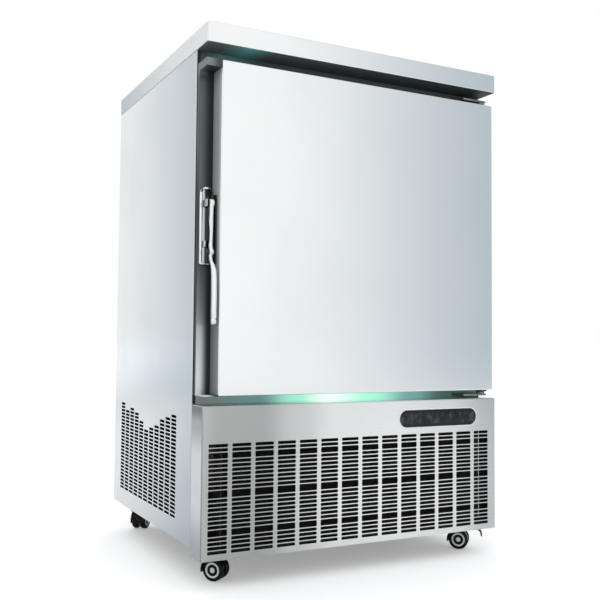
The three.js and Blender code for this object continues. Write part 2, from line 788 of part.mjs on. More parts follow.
// ---- Chamber fittings --------------------------------------------------------------------------
function buildEvaporator() {
  const middleZ = (chamberFloorZ + chamberTopZ) / 2;
  const fanLevels = [middleZ - evaporatorFanPitch / 2, middleZ + evaporatorFanPitch / 2];
  const holeRadius = evaporatorFanRadius + fanTipGap;
  const coverX = chamberX - seat;
  const cover = rectangle(new THREE.Shape(), [-coverX, coverX], [
    chamberFloorZ + dripTrayHeight,
    chamberTopZ - evaporatorMargin,
  ]);
  for (const level of fanLevels) {
    const hole = new THREE.Path();
    hole.absarc(0, level, holeRadius, 0, Math.PI * 2, false);
    cover.holes.push(hole);
  }
  piece(cabinet, 'evaporator_cover', plateXZ(cover, coverY, sheet), innerSteel);

  const coilY = [chamberBackY - seat - evaporatorDepth, chamberBackY - seat];
  const coilX = chamberX - evaporatorMargin;
  const coilZ = [chamberFloorZ + evaporatorMargin, chamberTopZ - evaporatorMargin];
  const coil = join(
    block([-coilX, coilX], coilY, coilZ),
    ...[-1, 1].map((side) => block([side * coilX - sheet, side * coilX + sheet], coilY, [
      coilZ[0] - evaporatorEndPlate,
      coilZ[1] + evaporatorEndPlate,
    ])),
  );
  piece(cabinet, 'evaporator_coil', coil, fins);
  const trayY = [coverY + sheet + seat, chamberBackY - seat];
  const trayZ = [chamberFloorZ + seat, chamberFloorZ + dripTrayHeight];
  const tray = cut(
    block([-coverX, coverX], trayY, trayZ),
    block(
      [sheet - coverX, coverX - sheet],
      [trayY[0] + sheet, trayY[1] - sheet],
      [trayZ[0] + sheet, trayZ[1] + past],
    ),
  );
  piece(cabinet, 'drip_tray', tray, innerSteel);

  const fanY = coverY + sheet + fanTipGap;
  const footY = seat - fanTipGap;
  const bridgeBackY = fanY + evaporatorFanDepth + 2 * runningGap + fanBridgeThickness;
  const motorLength = coilY[0] - bridgeBackY - fanBridgeThickness;
  const rotor = fanShape(
    evaporatorFanRadius,
    evaporatorFanDepth,
    evaporatorFanBlades,
    evaporatorBladeWidth,
  );
  const bridgeReach = holeRadius + fanTipGap * 2;
  const motorShape = fanMotorShape(evaporatorFanDepth, motorLength, bridgeReach, footY);
  ['lower', 'upper'].forEach((name, index) => {
    const fan = piece(cabinet, `${name}_fan`, rotor, blackPlastic);
    fan.position.set(0, fanY, fanLevels[index]);
    const motor = piece(cabinet, `${name}_fan_motor`, motorShape, blackEnamel);
    motor.position.set(0, fanY, fanLevels[index]);
  });
}

// A tray rack: two posts and a ladder of angle rails; side is -1 on the left and 1 on the right.
function trayRack(side) {
  const wallX = side * (chamberX - seat);
  const inward = (reach) => wallX - side * reach;
  const railY = [rackFrontSetback, rackFrontSetback + rackLength];
  const posts = [railY[0] + rackPostWidth, railY[1] - rackRearGap].map((y) => block(
    [wallX, inward(rackPost)].sort((a, b) => a - b),
    [y, y + rackPostWidth],
    [chamberFloorZ + seat, chamberFloorZ + rackBottom + rackLevels * rackPitch],
  ));
  const rails = [];
  for (let level = 0; level < rackLevels; level += 1) {
    const z = chamberFloorZ + rackBottom + level * rackPitch;
    const angle = new THREE.Shape([
      new THREE.Vector2(inward(rackPost - sheet), z),
      new THREE.Vector2(inward(rackLedge), z),
      new THREE.Vector2(inward(rackLedge), z + sheet),
      new THREE.Vector2(inward(rackPost + sheet), z + sheet),
      new THREE.Vector2(inward(rackPost + sheet), z + rackRailHeight),
      new THREE.Vector2(inward(rackPost - sheet), z + rackRailHeight),
    ]);
    rails.push(plateXZ(angle, railY[0], rackLength));
  }
  return join(...posts, ...rails);
}

function buildRacks() {
  piece(cabinet, 'left_tray_rack', trayRack(-1), innerSteel);
  piece(cabinet, 'right_tray_rack', trayRack(1), innerSteel);
}

// ---- Door: hung on the hinge axis, with its handle channel and latch ---------------------------
const door = new THREE.Group();
door.position.set(hingeX, hingeY, doorBottomZ);
cabinet.add(door);

// In the door's own frame: x and y from the hinge axis, z from the door's bottom edge.
const doorRightX = hingeInset;
const doorLeftX = -halfWidth - hingeX;
const skinLeftX = doorLeftX + channelWidth;
const doorFrontY = -hingeSetback;
const doorRearY = doorFrontY + doorDepth;
const innerPanelY = doorRearY - sheet;
const flangeY = [doorRearY - flangeThickness, doorRearY];
const bushRadius = hingePinDiameter / 2 + bushWall;

function bushPocket(radius) {
  const depth = hingePinReach + seat;
  const spans = [[-past, depth], [doorHeight - depth, doorHeight + past]];
  return spans.map((span) => rod('z', radius, span, [0, 0]));
}

function buildDoorBody() {
  const skinY = [doorFrontY, innerPanelY - seat];
  const skin = foldedTray([skinLeftX, doorRightX], skinY, [0, doorHeight]);
  piece(door, 'door_skin', cut(skin, ...bushPocket(bushRadius + seat)), steel);
  const core = block(
    [skinLeftX + sheet + seat, doorRightX - sheet - seat],
    [doorFrontY + sheet + seat, innerPanelY - seat],
    [sheet + seat, doorHeight - sheet - seat],
  );
  piece(door, 'door_foam', cut(core, ...bushPocket(bushRadius + seat)), foam);
  const inner = block([skinLeftX, doorRightX], [innerPanelY, doorRearY], [0, doorHeight]);
  piece(door, 'door_inner_panel', inner, innerSteel);

  const sealX = openingX + frameLap;
  const sealZ = [openingBottomZ - frameLap - doorBottomZ, openingTopZ + frameLap - doorBottomZ];
  const sealY = [doorRearY + seat, overhang - hingeY - seat];
  const gasket = cut(
    block(
      [-sealX - gasketWidth - hingeX, sealX + gasketWidth - hingeX],
      sealY,
      [sealZ[0] - gasketWidth, sealZ[1] + gasketWidth],
    ),
    block([-sealX - hingeX, sealX - hingeX], [sealY[0] - past, sealY[1] + past], sealZ),
  );
  piece(door, 'door_gasket', gasket, rubber);

  const bore = rod('z', hingePinDiameter / 2 + runningGap / 2, [-doorHeight, doorHeight], [0, 0]);
  const bush = cut(join(
    rod('z', bushRadius, [-bushFlange / 2, hingePinReach], [0, 0]),
    rod('z', bushRadius + bushFlange, [-bushFlange, -seat], [0, 0]),
  ), bore);
  piece(door, 'bottom_hinge_bush', bush, blackPlastic);
  const upper = piece(door, 'top_hinge_bush', bush, blackPlastic);
  upper.rotation.x = Math.PI;
  upper.position.z = doorHeight;
}

function buildHandleChannel() {
  const channelX = [doorLeftX, skinLeftX - seat];
  const tongueX = latchRightX - tongueSide;
  const tongueZ = latchRise + tongueRise;
  const passX = tongueWidth / 2 + runningGap;
  const passZ = tongueHeight / 2 + runningGap;
  const channel = cut(
    join(
      block(channelX, flangeY, [0, doorHeight]),
      block(channelX, [doorFrontY, flangeY[1]], [doorHeight - channelTopCap, doorHeight]),
      block(channelX, [doorFrontY, flangeY[1]], [0, channelBottomCap]),
      block([doorLeftX, doorLeftX + sheet], [flangeY[0] - channelLip, flangeY[1]], [0, doorHeight]),
    ),
    block(
      [tongueX - passX, tongueX + passX],
      [doorFrontY, doorRearY + past],
      [tongueZ - passZ, tongueZ + passZ],
    ),
  );
  piece(door, 'handle_channel', channel, steel);
}

// The latch frame: x from the door's side wall, y from the channel's back face, z from the base's foot.
const latchRightX = skinLeftX - 2 * seat;
const latch = new THREE.Group();
latch.position.set(latchRightX, flangeY[0] - seat, latchRise);
door.add(latch);

function latchHousing() {
  const profile = new THREE.Shape();
  profile.moveTo(-latchWidth, 0);
  profile.lineTo(-latchWidth, -latchPlate - latchRim);
  profile.lineTo(-latchWidth + latchRim, -latchPlate - latchRim);
  profile.quadraticCurveTo(-latchRim / 2, -latchPlate + latchRim, -latchRim / 3, -latchReach);
  profile.lineTo(0, -latchReach);
  profile.lineTo(0, 0);
  profile.closePath();
  const options = { depth: latchHeight, bevelEnabled: false, curveSegments: 10 };
  const bar = new THREE.ExtrudeGeometry(profile, options);
  const arch = new THREE.Shape();
  arch.moveTo(-latchWidth, 0);
  arch.lineTo(0, 0);
  arch.lineTo(0, latchHeight - latchWidth / 2);
  arch.absarc(-latchWidth / 2, latchHeight - latchWidth / 2, latchWidth / 2, 0, Math.PI, false);
  arch.closePath();
  return solid(bar).intersect(solid(plateXZ(arch, -latchReach * 2, latchReach * 3)));
}

function buildLatch() {
  const tongueX = -tongueSide;
  const pinX = [-leverSide - leverHeadRadius - latchRim, -latchRim / 4];
  const earX = [pinX[0], -leverSide - leverHeadRadius - runningGap];
  const base = cut(
    join(
      latchHousing(),
      block(earX, [-leverPivotOut - leverHeadRadius / 2, -latchPlate], [
        leverPivotRise - leverHeadRadius,
        leverPivotRise + leverHeadRadius,
      ]),
      rod('x', leverPinDiameter / 2, pinX, [-leverPivotOut, leverPivotRise], 12),
    ),
    block(
      [tongueX - tongueWidth / 2 - runningGap, tongueX + tongueWidth / 2 + runningGap],
      [-latchReach, past],
      [tongueRise - tongueHeight / 2 - runningGap, tongueRise + tongueHeight / 2 + runningGap],
    ),
  );
  piece(latch, 'latch_base', base, chrome);

  const lever = new THREE.Group();
  lever.position.set(-leverSide, -leverPivotOut, leverPivotRise);
  lever.rotation.x = -THREE.MathUtils.degToRad(leverLean);
  latch.add(lever);
  // From the tip up: tip, groove, grip, tapered neck, collar, shank and the collar under the head.
  const grooveRadius = leverGripRadius - leverTipChamfer / 2;
  const neckRadius = leverWaistRadius - runningGap;
  const collarRadius = leverHeadRadius - runningGap;
  const tipZ = leverTipLength - leverLength;
  const gripZ = tipZ + leverTipGroove;
  const collarZ = leverNeckCollar - leverNeckDrop;
  const profile = [
    [0, -leverLength],
    [leverGripRadius - leverTipChamfer / 2, -leverLength],
    [leverGripRadius, leverTipChamfer - leverLength],
    [leverGripRadius, tipZ - runningGap],
    [grooveRadius, tipZ],
    [grooveRadius, gripZ],
    [leverGripRadius, gripZ + runningGap],
    [leverGripRadius, leverGripLength - leverLength],
    [neckRadius, -leverNeckDrop - leverNeckTaper],
    [neckRadius, collarZ - runningGap],
    [collarRadius, collarZ],
    [collarRadius, collarZ + leverNeckCollar],
    [leverWaistRadius, collarZ + 2 * leverNeckCollar],
    [leverWaistRadius, leverShankLength - leverNeckDrop],
    [leverCollarRadius, -leverCollarDrop],
    [leverCollarRadius, 0],
    [0, 0],
  ];
  const outline = profile.map(([r, z]) => new THREE.Vector2(r, z));
  const stem = new THREE.LatheGeometry(outline, 12).rotateX(Math.PI / 2);
  const headX = [-leverHeadRadius, leverCollarRadius - past];
  const boreX = [-leverHeadRadius - past, leverHeadRadius + past];
  const body = cut(
    join(stem, rod('x', leverHeadRadius, headX, [0, 0], 16)),
    rod('x', leverPinDiameter / 2 + runningGap / 2, boreX, [0, 0], 12),
  );
  piece(lever, 'latch_lever', body, chrome);

  const tongueY = [
    -latchPlate - tongueTail,
    flangeThickness + overhang - doorBackY + strikeThickness,
  ];
  const tongue = piece(latch, 'latch_tongue', block(
    [-tongueWidth / 2, tongueWidth / 2],
    tongueY,
    [-tongueHeight / 2, tongueHeight / 2],
  ), chrome);
  tongue.position.set(tongueX, 0, tongueRise);
}

// ---- Castors: top plate, swivelling fork, twin wheels; the front right one has a brake ---------
function wheelPair() {
  const radius = wheelDiameter / 2;
  const inner = forkWebThickness / 2 + runningGap;
  const outer = inner + wheelWidth;
  const half = [
    [axleDiameter / 2, inner],
    [radius - wheelInnerShoulder, inner],
    [radius, inner + wheelShoulder],
    [radius, outer - wheelShoulder],
    [radius - wheelShoulder, outer],
    [0, outer],
  ];
  const mirrored = half.map(([r, x]) => [r, -x]).reverse();
  const points = [...mirrored, ...half].map(([r, x]) => new THREE.Vector2(r, x));
  return new THREE.LatheGeometry(points, 16).rotateZ(-Math.PI / 2);
}

// The hood is part of a ring around the axle, over the top and the leading side of the wheels.
function castorHood(axleZ) {
  const inner = wheelDiameter / 2 + hoodGap;
  const outer = inner + hoodThickness;
  const from = THREE.MathUtils.degToRad(hoodStart);
  const to = THREE.MathUtils.degToRad(hoodEnd);
  const outline = new THREE.Shape();
  outline.absarc(-castorTrail, axleZ, outer, from, to, false);
  outline.absarc(-castorTrail, axleZ, inner, to, from, true);
  outline.closePath();
  return plateYZ(outline, -forkWidth / 2, forkWidth, 5);
}

const crownTop = -castorPlateThickness - bearingHeight - runningGap;
const crownBackY = -castorTrail - axleDiameter;
const brakePivot = [crownBackY - brakeKnuckle - runningGap, crownTop - brakeKnuckle];

function castorFork(hasBrake) {
  const crownZ = [crownTop - forkCrownThickness, crownTop];
  const axleZ = wheelDiameter / 2 - castorHeight;
  const webY = [crownBackY, hoodThickness + wheelDiameter / 2 - castorTrail];
  const fork = join(
    block([-forkWidth / 2, forkWidth / 2], webY, crownZ),
    rod('z', stemRadius, [crownZ[0], -castorPlateThickness - runningGap], [0, 0], 12),
    block([-forkWebThickness / 2, forkWebThickness / 2], webY, [axleZ, crownTop]),
    rod('x', axleDiameter, [-forkWebThickness / 2, forkWebThickness / 2], [-castorTrail, axleZ], 12),
    castorHood(axleZ),
  );
  const boreRadius = axleDiameter / 2 + runningGap / 2;
  const bore = rod('x', boreRadius, [-forkWidth, forkWidth], [-castorTrail, axleZ], 12);
  if (!hasBrake) return cut(fork, bore);
  const innerX = brakeWidth / 2 + runningGap;
  const outerX = innerX + brakeCheek;
  const cheeks = [[-outerX, -innerX], [innerX, outerX]].map((span) => block(
    span,
    [brakePivot[0] - brakeKnuckle, crownBackY + runningGap],
    [brakePivot[1] - brakeKnuckle, crownTop],
  ));
  const pin = rod('x', brakePinDiameter / 2, [-outerX, outerX], brakePivot, 10);
  return cut(join(fork, ...cheeks, pin), bore);
}

function castorPlate() {
  const half = castorPlateSize / 2;
  const ringZ = [-castorPlateThickness - bearingHeight, -castorPlateThickness / 2];
  const ring = cut(
    rod('z', bearingRadius, ringZ, [0, 0], 20),
    rod('z', stemRadius + runningGap, [ringZ[0] - past, -castorPlateThickness], [0, 0], 12),
  );
  return join(block([-half, half], [-half, half], [-castorPlateThickness, -seat]), ring);
}

// The brake is a pedal hung on the fork: a flat arm that ends in a curved toe.
function brakePedal() {
  const [innerY, pivotZ] = brakePivot;
  const top = pivotZ + brakeThickness / 2;
  const low = top - brakeThickness;
  const outerY = -castorTrail - brakeReach;
  const toeY = outerY - brakeToe;
  const arm = new THREE.Shape();
  arm.moveTo(innerY, top);
  arm.lineTo(outerY, top);
  arm.quadraticCurveTo(toeY + brakeThickness / 2, top, toeY, top - brakeDrop);
  arm.lineTo(toeY + brakeToeThickness, top - brakeDrop);
  arm.quadraticCurveTo(toeY + brakeThickness, low, outerY + brakeThickness / 2, low);
  arm.lineTo(innerY, low);
  arm.closePath();
  return cut(
    join(
      plateYZ(arm, -brakeWidth / 2, brakeWidth),
      rod('x', brakeKnuckle, [-brakeWidth / 2, brakeWidth / 2], brakePivot, 12),
    ),
    rod('x', brakePinDiameter / 2 + runningGap / 2, [-brakeWidth, brakeWidth], brakePivot, 10),
  );
}

function buildCastors() {
  const corners = [
    ['front_left', -1, frontCastorSetback, frontLeftSwivel],
    ['front_right', 1, frontCastorSetback, frontRightSwivel],
    ['rear_left', -1, rearCastorSetback, rearLeftSwivel],
    ['rear_right', 1, rearCastorSetback, rearRightSwivel],
  ];
  for (const [name, side, setback, swivel] of corners) {
    const corner = new THREE.Group();
    corner.position.set(side * (halfWidth - castorInset), setback, castorHeight);
    cabinet.add(corner);
    piece(corner, `${name}_castor_plate`, castorPlate(), zinc);
    const turning = new THREE.Group();
    turning.rotation.z = THREE.MathUtils.degToRad(swivel);
    corner.add(turning);
    const hasBrake = name === 'front_right';
    piece(turning, `${name}_castor_fork`, castorFork(hasBrake), blackPlastic);
    const wheels = piece(turning, `${name}_castor_wheels`, wheelPair(), rubber);
    wheels.position.set(0, -castorTrail, wheelDiameter / 2 - castorHeight);
    if (hasBrake) piece(turning, 'brake_pedal', brakePedal(), blackPlastic);
  }
}

buildWorktop();
buildSidePanels();
buildBack();
buildInsulatedBox();
buildHingeBrackets();
buildBase();
buildLowerPanel();
buildCondenser();
buildCompressor();
buildEvaporator();
buildRacks();
buildDoorBody();
buildHandleChannel();
buildLatch();
buildCastors();

export default chiller;
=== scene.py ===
"""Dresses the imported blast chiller: steel shells, latch, castors, fans, coils and finishes."""

import json
import math

import bmesh
import bpy
from bpy.props import FloatProperty, FloatVectorProperty, IntProperty, PointerProperty
from mathutils import Matrix, Vector

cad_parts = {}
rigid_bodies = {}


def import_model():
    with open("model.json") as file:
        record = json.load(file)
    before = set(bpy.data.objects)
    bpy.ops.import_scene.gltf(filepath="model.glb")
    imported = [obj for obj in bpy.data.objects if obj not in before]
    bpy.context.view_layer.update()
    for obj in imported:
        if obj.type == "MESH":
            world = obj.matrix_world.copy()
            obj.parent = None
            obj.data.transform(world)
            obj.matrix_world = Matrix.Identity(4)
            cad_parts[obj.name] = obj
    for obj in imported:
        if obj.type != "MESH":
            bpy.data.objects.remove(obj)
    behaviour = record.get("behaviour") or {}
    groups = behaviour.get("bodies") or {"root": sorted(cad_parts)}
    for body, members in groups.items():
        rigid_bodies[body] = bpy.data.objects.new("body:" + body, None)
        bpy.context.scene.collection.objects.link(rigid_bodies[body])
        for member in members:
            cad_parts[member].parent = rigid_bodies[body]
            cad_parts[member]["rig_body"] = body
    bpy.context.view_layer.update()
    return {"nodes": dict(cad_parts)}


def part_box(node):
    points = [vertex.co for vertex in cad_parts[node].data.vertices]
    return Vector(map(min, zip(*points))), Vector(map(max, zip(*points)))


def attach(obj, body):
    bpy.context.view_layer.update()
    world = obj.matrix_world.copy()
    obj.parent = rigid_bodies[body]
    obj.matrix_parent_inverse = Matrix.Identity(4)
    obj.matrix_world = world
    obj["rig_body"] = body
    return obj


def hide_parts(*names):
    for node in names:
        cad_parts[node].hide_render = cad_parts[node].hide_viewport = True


bl_info = {
    "name": "Blast chiller",
    "version": (1, 0, 0),
    "blender": (4, 5, 0),
    "location": "3D View > Sidebar > Chiller",
    "description": "Models and finishes a reach-in blast chiller around its packed frame",
    "category": "Object",
}

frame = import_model()

UP = Vector((0, 0, 1))
BACK = Vector((0, 1, 0))
RIGHT = Vector((1, 0, 0))
LATCH_PIVOT = Vector((-0.3751, -0.3208, 0.838))
CORNERS = ("front_left", "front_right", "rear_left", "rear_right")
WELD = 1e-6  # Points closer than this are one point.

# Tones of the studio's walls by heading in degrees: 0 looks forward (-Y), 90 looks right (+X).
WALL, GREY, FLAG = (1.0, 1.0, 1.0), (0.47, 0.53, 0.57), (0.10, 0.11, 0.12)
STUDIO = (
    (-180, WALL), (-164, WALL), (-161.3, (0.62, 0.68, 0.71)), (-158.5, (0.38, 0.44, 0.48)),
    (-145, (0.38, 0.44, 0.48)), (-120, WALL), (-92, WALL), (-88, FLAG), (-76, FLAG), (-72, WALL),
    (-30, (0.86, 0.87, 0.88)), (-6, (0.90, 0.91, 0.92)), (8, WALL), (25, WALL),
    (28.5, (0.93, 0.94, 0.94)), (32, (0.76, 0.81, 0.83)), (36, (0.58, 0.64, 0.67)),
    (40, (0.44, 0.51, 0.55)), (60, GREY), (75, FLAG), (85, GREY), (110, WALL), (180, WALL),
)


# ---- Settings --------------------------------------------------------------------------------
def size(name, text, default):
    """A length in metres."""
    return FloatProperty(name=name, description=text, default=default, min=0, unit="LENGTH")


def colour(name, text, default):
    """A scene-linear colour."""
    return FloatVectorProperty(
        name=name, description=text, default=default, min=0, max=1, size=3, subtype="COLOR"
    )


class ChillerSizes(bpy.types.PropertyGroup):
    """Sizes of the details that are modelled around the frame."""

    sheet: size("Sheet", "Thickness of the sheet steel", 0.0015)
    fold: size("Fold radius", "Outer radius of the folds in the outer shells", 0.003)
    cove: size("Cove radius", "Radius of the chamber's inner corners", 0.012)
    edge: size("Edge radius", "Rounding of small metal edges", 0.0006)
    worktop_lip: size("Worktop lip", "Width of the lip under the worktop", 0.020)
    overhang: size("Overhang", "How far the worktop stands over the frame", 0.066)
    slot_rim: size("Slot rim", "Width of the dimple round a punched slot", 0.0006)
    slot_corner: size("Slot corner", "Corner radius of a punched slot", 0.0018)
    grille_pitch: size("Grille column pitch", "Distance between grille columns", 0.055)
    grille_slot: size("Grille slot width", "Width of one grille slot", 0.0445)
    grille_height: size("Grille slot height", "Height of one grille slot", 0.0066)
    grille_bar: size("Grille bar", "Metal between two grille slots", 0.00275)
    grille_foot: size("Grille foot", "Panel's lower edge to the first slot", 0.0138)
    vent_pitch: size("Vent column pitch", "Distance between vent columns", 0.0427)
    vent_row: size("Vent row pitch", "Distance between vent rows", 0.00915)
    vent_slot: size("Vent slot width", "Width of one vent slot", 0.0345)
    vent_height: size("Vent slot height", "Height of one vent slot", 0.0061)
    screw: size("Screw radius", "Radius of a pan head screw", 0.0042)
    fin_pitch: size("Fin pitch", "Distance between two heat exchanger fins", 0.0028)
    fin: size("Fin thickness", "Thickness of one fin", 0.0004)
    guard_wire: size("Guard wire", "Radius of the fan guards' wire", 0.0013)
    spokes: IntProperty(name="Guard spokes", description="Spokes of a fan guard", default=6, min=1)
    fan_hub: size("Fan hub", "Radius of a fan wheel's hub", 0.024)
    coil_tube: size("Coil tube", "Radius of the tubes in the coils", 0.0045)
    wheel_radius: size("Wheel radius", "Radius of a castor wheel", 0.025)
    wheel_start: size("Wheel start", "Middle of the castor to the wheel's inner face", 0.0042)
    wheel_end: size("Wheel end", "Middle of the castor to the wheel's outer face", 0.0198)


class ChillerColours(bpy.types.PropertyGroup):
    """Colours of the finishes."""

    steel: colour("Steel", "Brushed outer steel", (0.94, 0.95, 0.955))
    inner_steel: colour("Inner steel", "Chamber steel", (0.72, 0.73, 0.74))
    zinc: colour("Zinc", "Galvanised sheet", (0.55, 0.57, 0.58))
    chrome: colour("Chrome", "Latch, fan guards and screws", (0.88, 0.89, 0.90))
    foam: colour("Foam", "Insulation", (0.72, 0.60, 0.33))
    board: colour("Board", "Worktop core", (0.42, 0.30, 0.18))
    rubber: colour("Rubber", "Door gasket", (0.028, 0.029, 0.031))
    tyre: colour("Tyre", "Castor tyres", (0.006, 0.006, 0.0065))
    black: colour("Black plastic", "Castor hoods, fan blades", (0.008, 0.008, 0.009))
    grey: colour("Grey plastic", "Control box", (0.46, 0.48, 0.50))
    glass: colour("Glass", "Display glass", (0.010, 0.012, 0.014))
    trim: colour("Trim", "Rim round the display", (0.97, 0.98, 0.97))
    # Painted shadow: near-black on the side panels' front folds, standing for the shade in the gap
    # beside the door.
    seam: colour("Seam", "Front folds of the side panels", (0.012, 0.013, 0.014))
    enamel: colour("Enamel", "Compressor and motors", (0.018, 0.019, 0.021))
    copper: colour("Copper", "Refrigerant pipes", (0.72, 0.32, 0.16))
    # Condenser fins: a dark coating, made near-black also as painted shade of the compartment behind
    # the louvres.
    fins: colour("Condenser fins", "Dark coated fins", (0.012, 0.011, 0.010))
    evaporator_fins: colour("Evaporator fins", "Bare metal fins", (0.42, 0.43, 0.43))
    # Dark lining inside the outer panels, and painted shade: the same near-black stands for the dark
    # interior seen through the louvres.
    lining: colour("Lining", "Dark lining inside the outer panels", (0.010, 0.010, 0.011))
    # Painted shade: steel darkened to stand for the shade in the handle channel, on the door's left
    # edge and on the hinges.
    channel: colour("Channel", "Shaded steel of the handle channel", (0.30, 0.32, 0.32))
    ring: colour("Wheel ring", "Ring and cap on the castor wheels", (0.80, 0.81, 0.80))
    # Painted glow: the ledge colours make the lower rail under the door glow teal, with no lamp
    # there.
    ledge_peak: colour("Ledge peak", "Brightest tint of the lit ledge", (0.74, 0.92, 0.80))
    ledge: colour("Ledge", "Tint of the lit ledge under the door", (0.34, 0.78, 0.59))
    ledge_teal: colour("Ledge teal", "Tint beside the ledge's light", (0.10, 0.21, 0.20))
    ledge_edge: colour("Ledge edge", "Tint at the ledge's dark end", (0.040, 0.095, 0.078))
    # Painted shade: this dark colour under the worktop's overhang stands for shade.
    underside: colour("Underside", "Coating under the worktop", (0.050, 0.056, 0.060))
    floor: colour("Floor", "Stage floor", (0.94, 0.94, 0.94))


class ChillerStage(bpy.types.PropertyGroup):
    """Camera and light."""

    lens: FloatProperty(name="Lens", description="Focal length", default=50.35, unit="CAMERA")
    sensor: FloatProperty(name="Sensor", description="Sensor width", default=36, unit="CAMERA")
    heading: FloatProperty(name="Heading", description="Degrees from +Y", default=27.36)
    pitch: FloatProperty(name="Pitch", description="Degrees above the horizon", default=2.8)
    roll: FloatProperty(name="Roll", description="Degrees about the view axis", default=0.51)
    camera: FloatVectorProperty(
        name="Camera", description="Place of the camera", default=(-1.0441, -2.0423, 0.5361),
        subtype="XYZ", unit="LENGTH",
    )
    key: FloatProperty(name="Key", description="Power of the key lamp", default=22, unit="POWER")
    fill: FloatProperty(name="Fill", description="Power of the fill lamp", default=8, unit="POWER")


def sizes():
    """The scene's sizes."""
    return bpy.context.scene.chiller_sizes


def colours():
    """The scene's colours."""
    return bpy.context.scene.chiller_colours


# ---- Shader helpers --------------------------------------------------------------------------
class Wire:
    """A shader socket on which arithmetic adds Math nodes."""

    def __init__(self, tree, socket):
        self.tree = tree
        self.socket = socket

    def math(self, operation, first, second):
        """One Math node on two wires or numbers."""
        return self.tree.add("ShaderNodeMath", {"operation": operation}, {0: first, 1: second})

    def __add__(self, other):
        return self.math("ADD", self, other)

    __radd__ = __add__

    def __sub__(self, other):
        return self.math("SUBTRACT", self, other)

    def __rsub__(self, other):
        return self.math("SUBTRACT", other, self)

    def __mul__(self, other):
        return self.math("MULTIPLY", self, other)

    __rmul__ = __mul__

    def __truediv__(self, other):
        return self.math("DIVIDE", self, other)

    def __rtruediv__(self, other):
        return self.math("DIVIDE", other, self)

    def __abs__(self):
        return self.tree.add("ShaderNodeMath", {"operation": "ABSOLUTE"}, {0: self})


class Tree:
    """A node tree that is written from top to bottom."""

    def __init__(self, nodes):
        self.nodes = nodes
        nodes.nodes.clear()

    def feed(self, socket, value):
        """Links a wire to a socket, or sets the socket to a plain value."""
        if isinstance(value, Wire):
            self.nodes.links.new(value.socket, socket)
        elif socket.type == "RGBA" and len(value) == 3:
            socket.default_value = (*value, 1)
        else:
            socket.default_value = value

    def add(self, kind, settings=None, sockets=None, output=0):
        """Adds a node, gives it its settings and then its sockets, and returns one output."""
        node = self.nodes.nodes.new(kind)
        for key, value in (settings or {}).items():
            if key == "stops":
                self.set_stops(node.color_ramp.elements, value)
            elif key == "smooth":
                node.color_ramp.interpolation = value
            else:
                setattr(node, key, value)
        for key, value in (sockets or {}).items():
            self.feed(node.inputs[key], value)
        return Wire(self, node.outputs[output]) if len(node.outputs) else None

    @staticmethod
    def set_stops(elements, stops):
        """Gives a ramp its (position, colour) stops."""
        while len(elements) < len(stops):
            elements.new(1)
        for element, (position, tone) in zip(elements, stops):
            element.position = position
            element.color = (*tone, 1)

    def place(self):
        """The point's place on the object at rest, in metres."""
        return self.add("ShaderNodeTexCoord", output="Object")

    def axis(self, name, source=None):
        """One part of a vector, which is the point's place unless another is given."""
        source = source or self.place()
        return self.add("ShaderNodeSeparateXYZ", None, {0: source}, output=name)

    def share(self, name):
        """How far across the worktop the point lies along one axis, from 0 to 1."""
        low, high = (corner["XYZ".index(name)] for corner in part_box("worktop"))
        return (self.axis(name) - low) / (high - low)

    def noise(self, scale, detail=3.0, roughness=0.55, stretch=(1, 1, 1)):
        """Noise on the object, finer where it is stretched more."""
        spread = self.add("ShaderNodeMapping", None, {"Vector": self.place(), "Scale": stretch})
        return self.add(
            "ShaderNodeTexNoise",
            None,
            {"Vector": spread, "Scale": scale, "Detail": detail, "Roughness": roughness},
        )

    def span(self, value, low, high):
        """Maps low..high to 0..1 with soft ends."""
        return self.add(
            "ShaderNodeMapRange",
            {"interpolation_type": "SMOOTHSTEP"},
            {"Value": value, "From Min": low, "From Max": high},
        )

    def blend(self, share, first, second):
        """Mixes two colours."""
        return self.add(
            "ShaderNodeMix", {"data_type": "RGBA"}, {0: share, 6: first, 7: second}, output=2
        )

    def times(self, first, second):
        """Multiplies two colours."""
        return self.add(
            "ShaderNodeMix", {"data_type": "RGBA", "blend_type": "MULTIPLY"},
            {0: 1.0, 6: first, 7: second}, output=2,
        )

    def ramp(self, value, stops, smooth="LINEAR"):
        """A colour that runs through stops of (position, colour)."""
        return self.add("ShaderNodeValToRGB", {"stops": stops, "smooth": smooth}, {0: value})

    def bump(self, height, strength, distance):
        """A normal that follows a height, distance in metres."""
        return self.add(
            "ShaderNodeBump", None, {"Strength": strength, "Distance": distance, "Height": height}
        )


def shade(base, factor):
    """The colour made darker or lighter by a factor."""
    return tuple(min(1.0, part * factor) for part in base)


def principled(tree, sockets):
    """The tree's shader and its output."""
    shader = tree.add("ShaderNodeBsdfPrincipled", None, sockets)
    tree.add("ShaderNodeOutputMaterial", None, {"Surface": shader})


# ---- Finishes --------------------------------------------------------------------------------
SATIN = 0.24  # Roughness of the lower panel.
DUST_ON_FINS = (40, 4, 0.45, 0.8)  # Noise scale and detail, and the part of it that shows.


def grey(value):
    """A neutral tone."""
    return (value, value, value)


def paint(name):
    """A colour from the settings."""
    return tuple(getattr(colours(), name))


def toned(tree, parts, tone):
    """Multiplies a finish's colour by a tone."""
    parts["Base Color"] = tree.times(parts["Base Color"], tone)
    return parts


def brushed(tree, base, rough=0.17, grain=0.05, smudge=0.04, metallic=1.0):
    """Sheet steel: fine grain along X, soft cloudy wipe marks."""
    grain_wave = tree.noise(1, 2, 0.6, (9, 620, 900))
    speckle = tree.noise(260, 2, 0.7)
    marks = tree.span(tree.noise(3.2, 4, 0.6), 0.38, 0.72)
    return {
        "Base Color": tree.blend(marks * 0.55 + speckle * 0.25, base, shade(base, 0.96)),
        "Metallic": metallic,
        "Roughness": rough + (grain_wave - 0.5) * grain + marks * smudge,
        "Normal": tree.bump(grain_wave, 0.03, 0.0003),
    }


def steel(tree):
    """The outer panels."""
    return brushed(tree, paint("steel"))


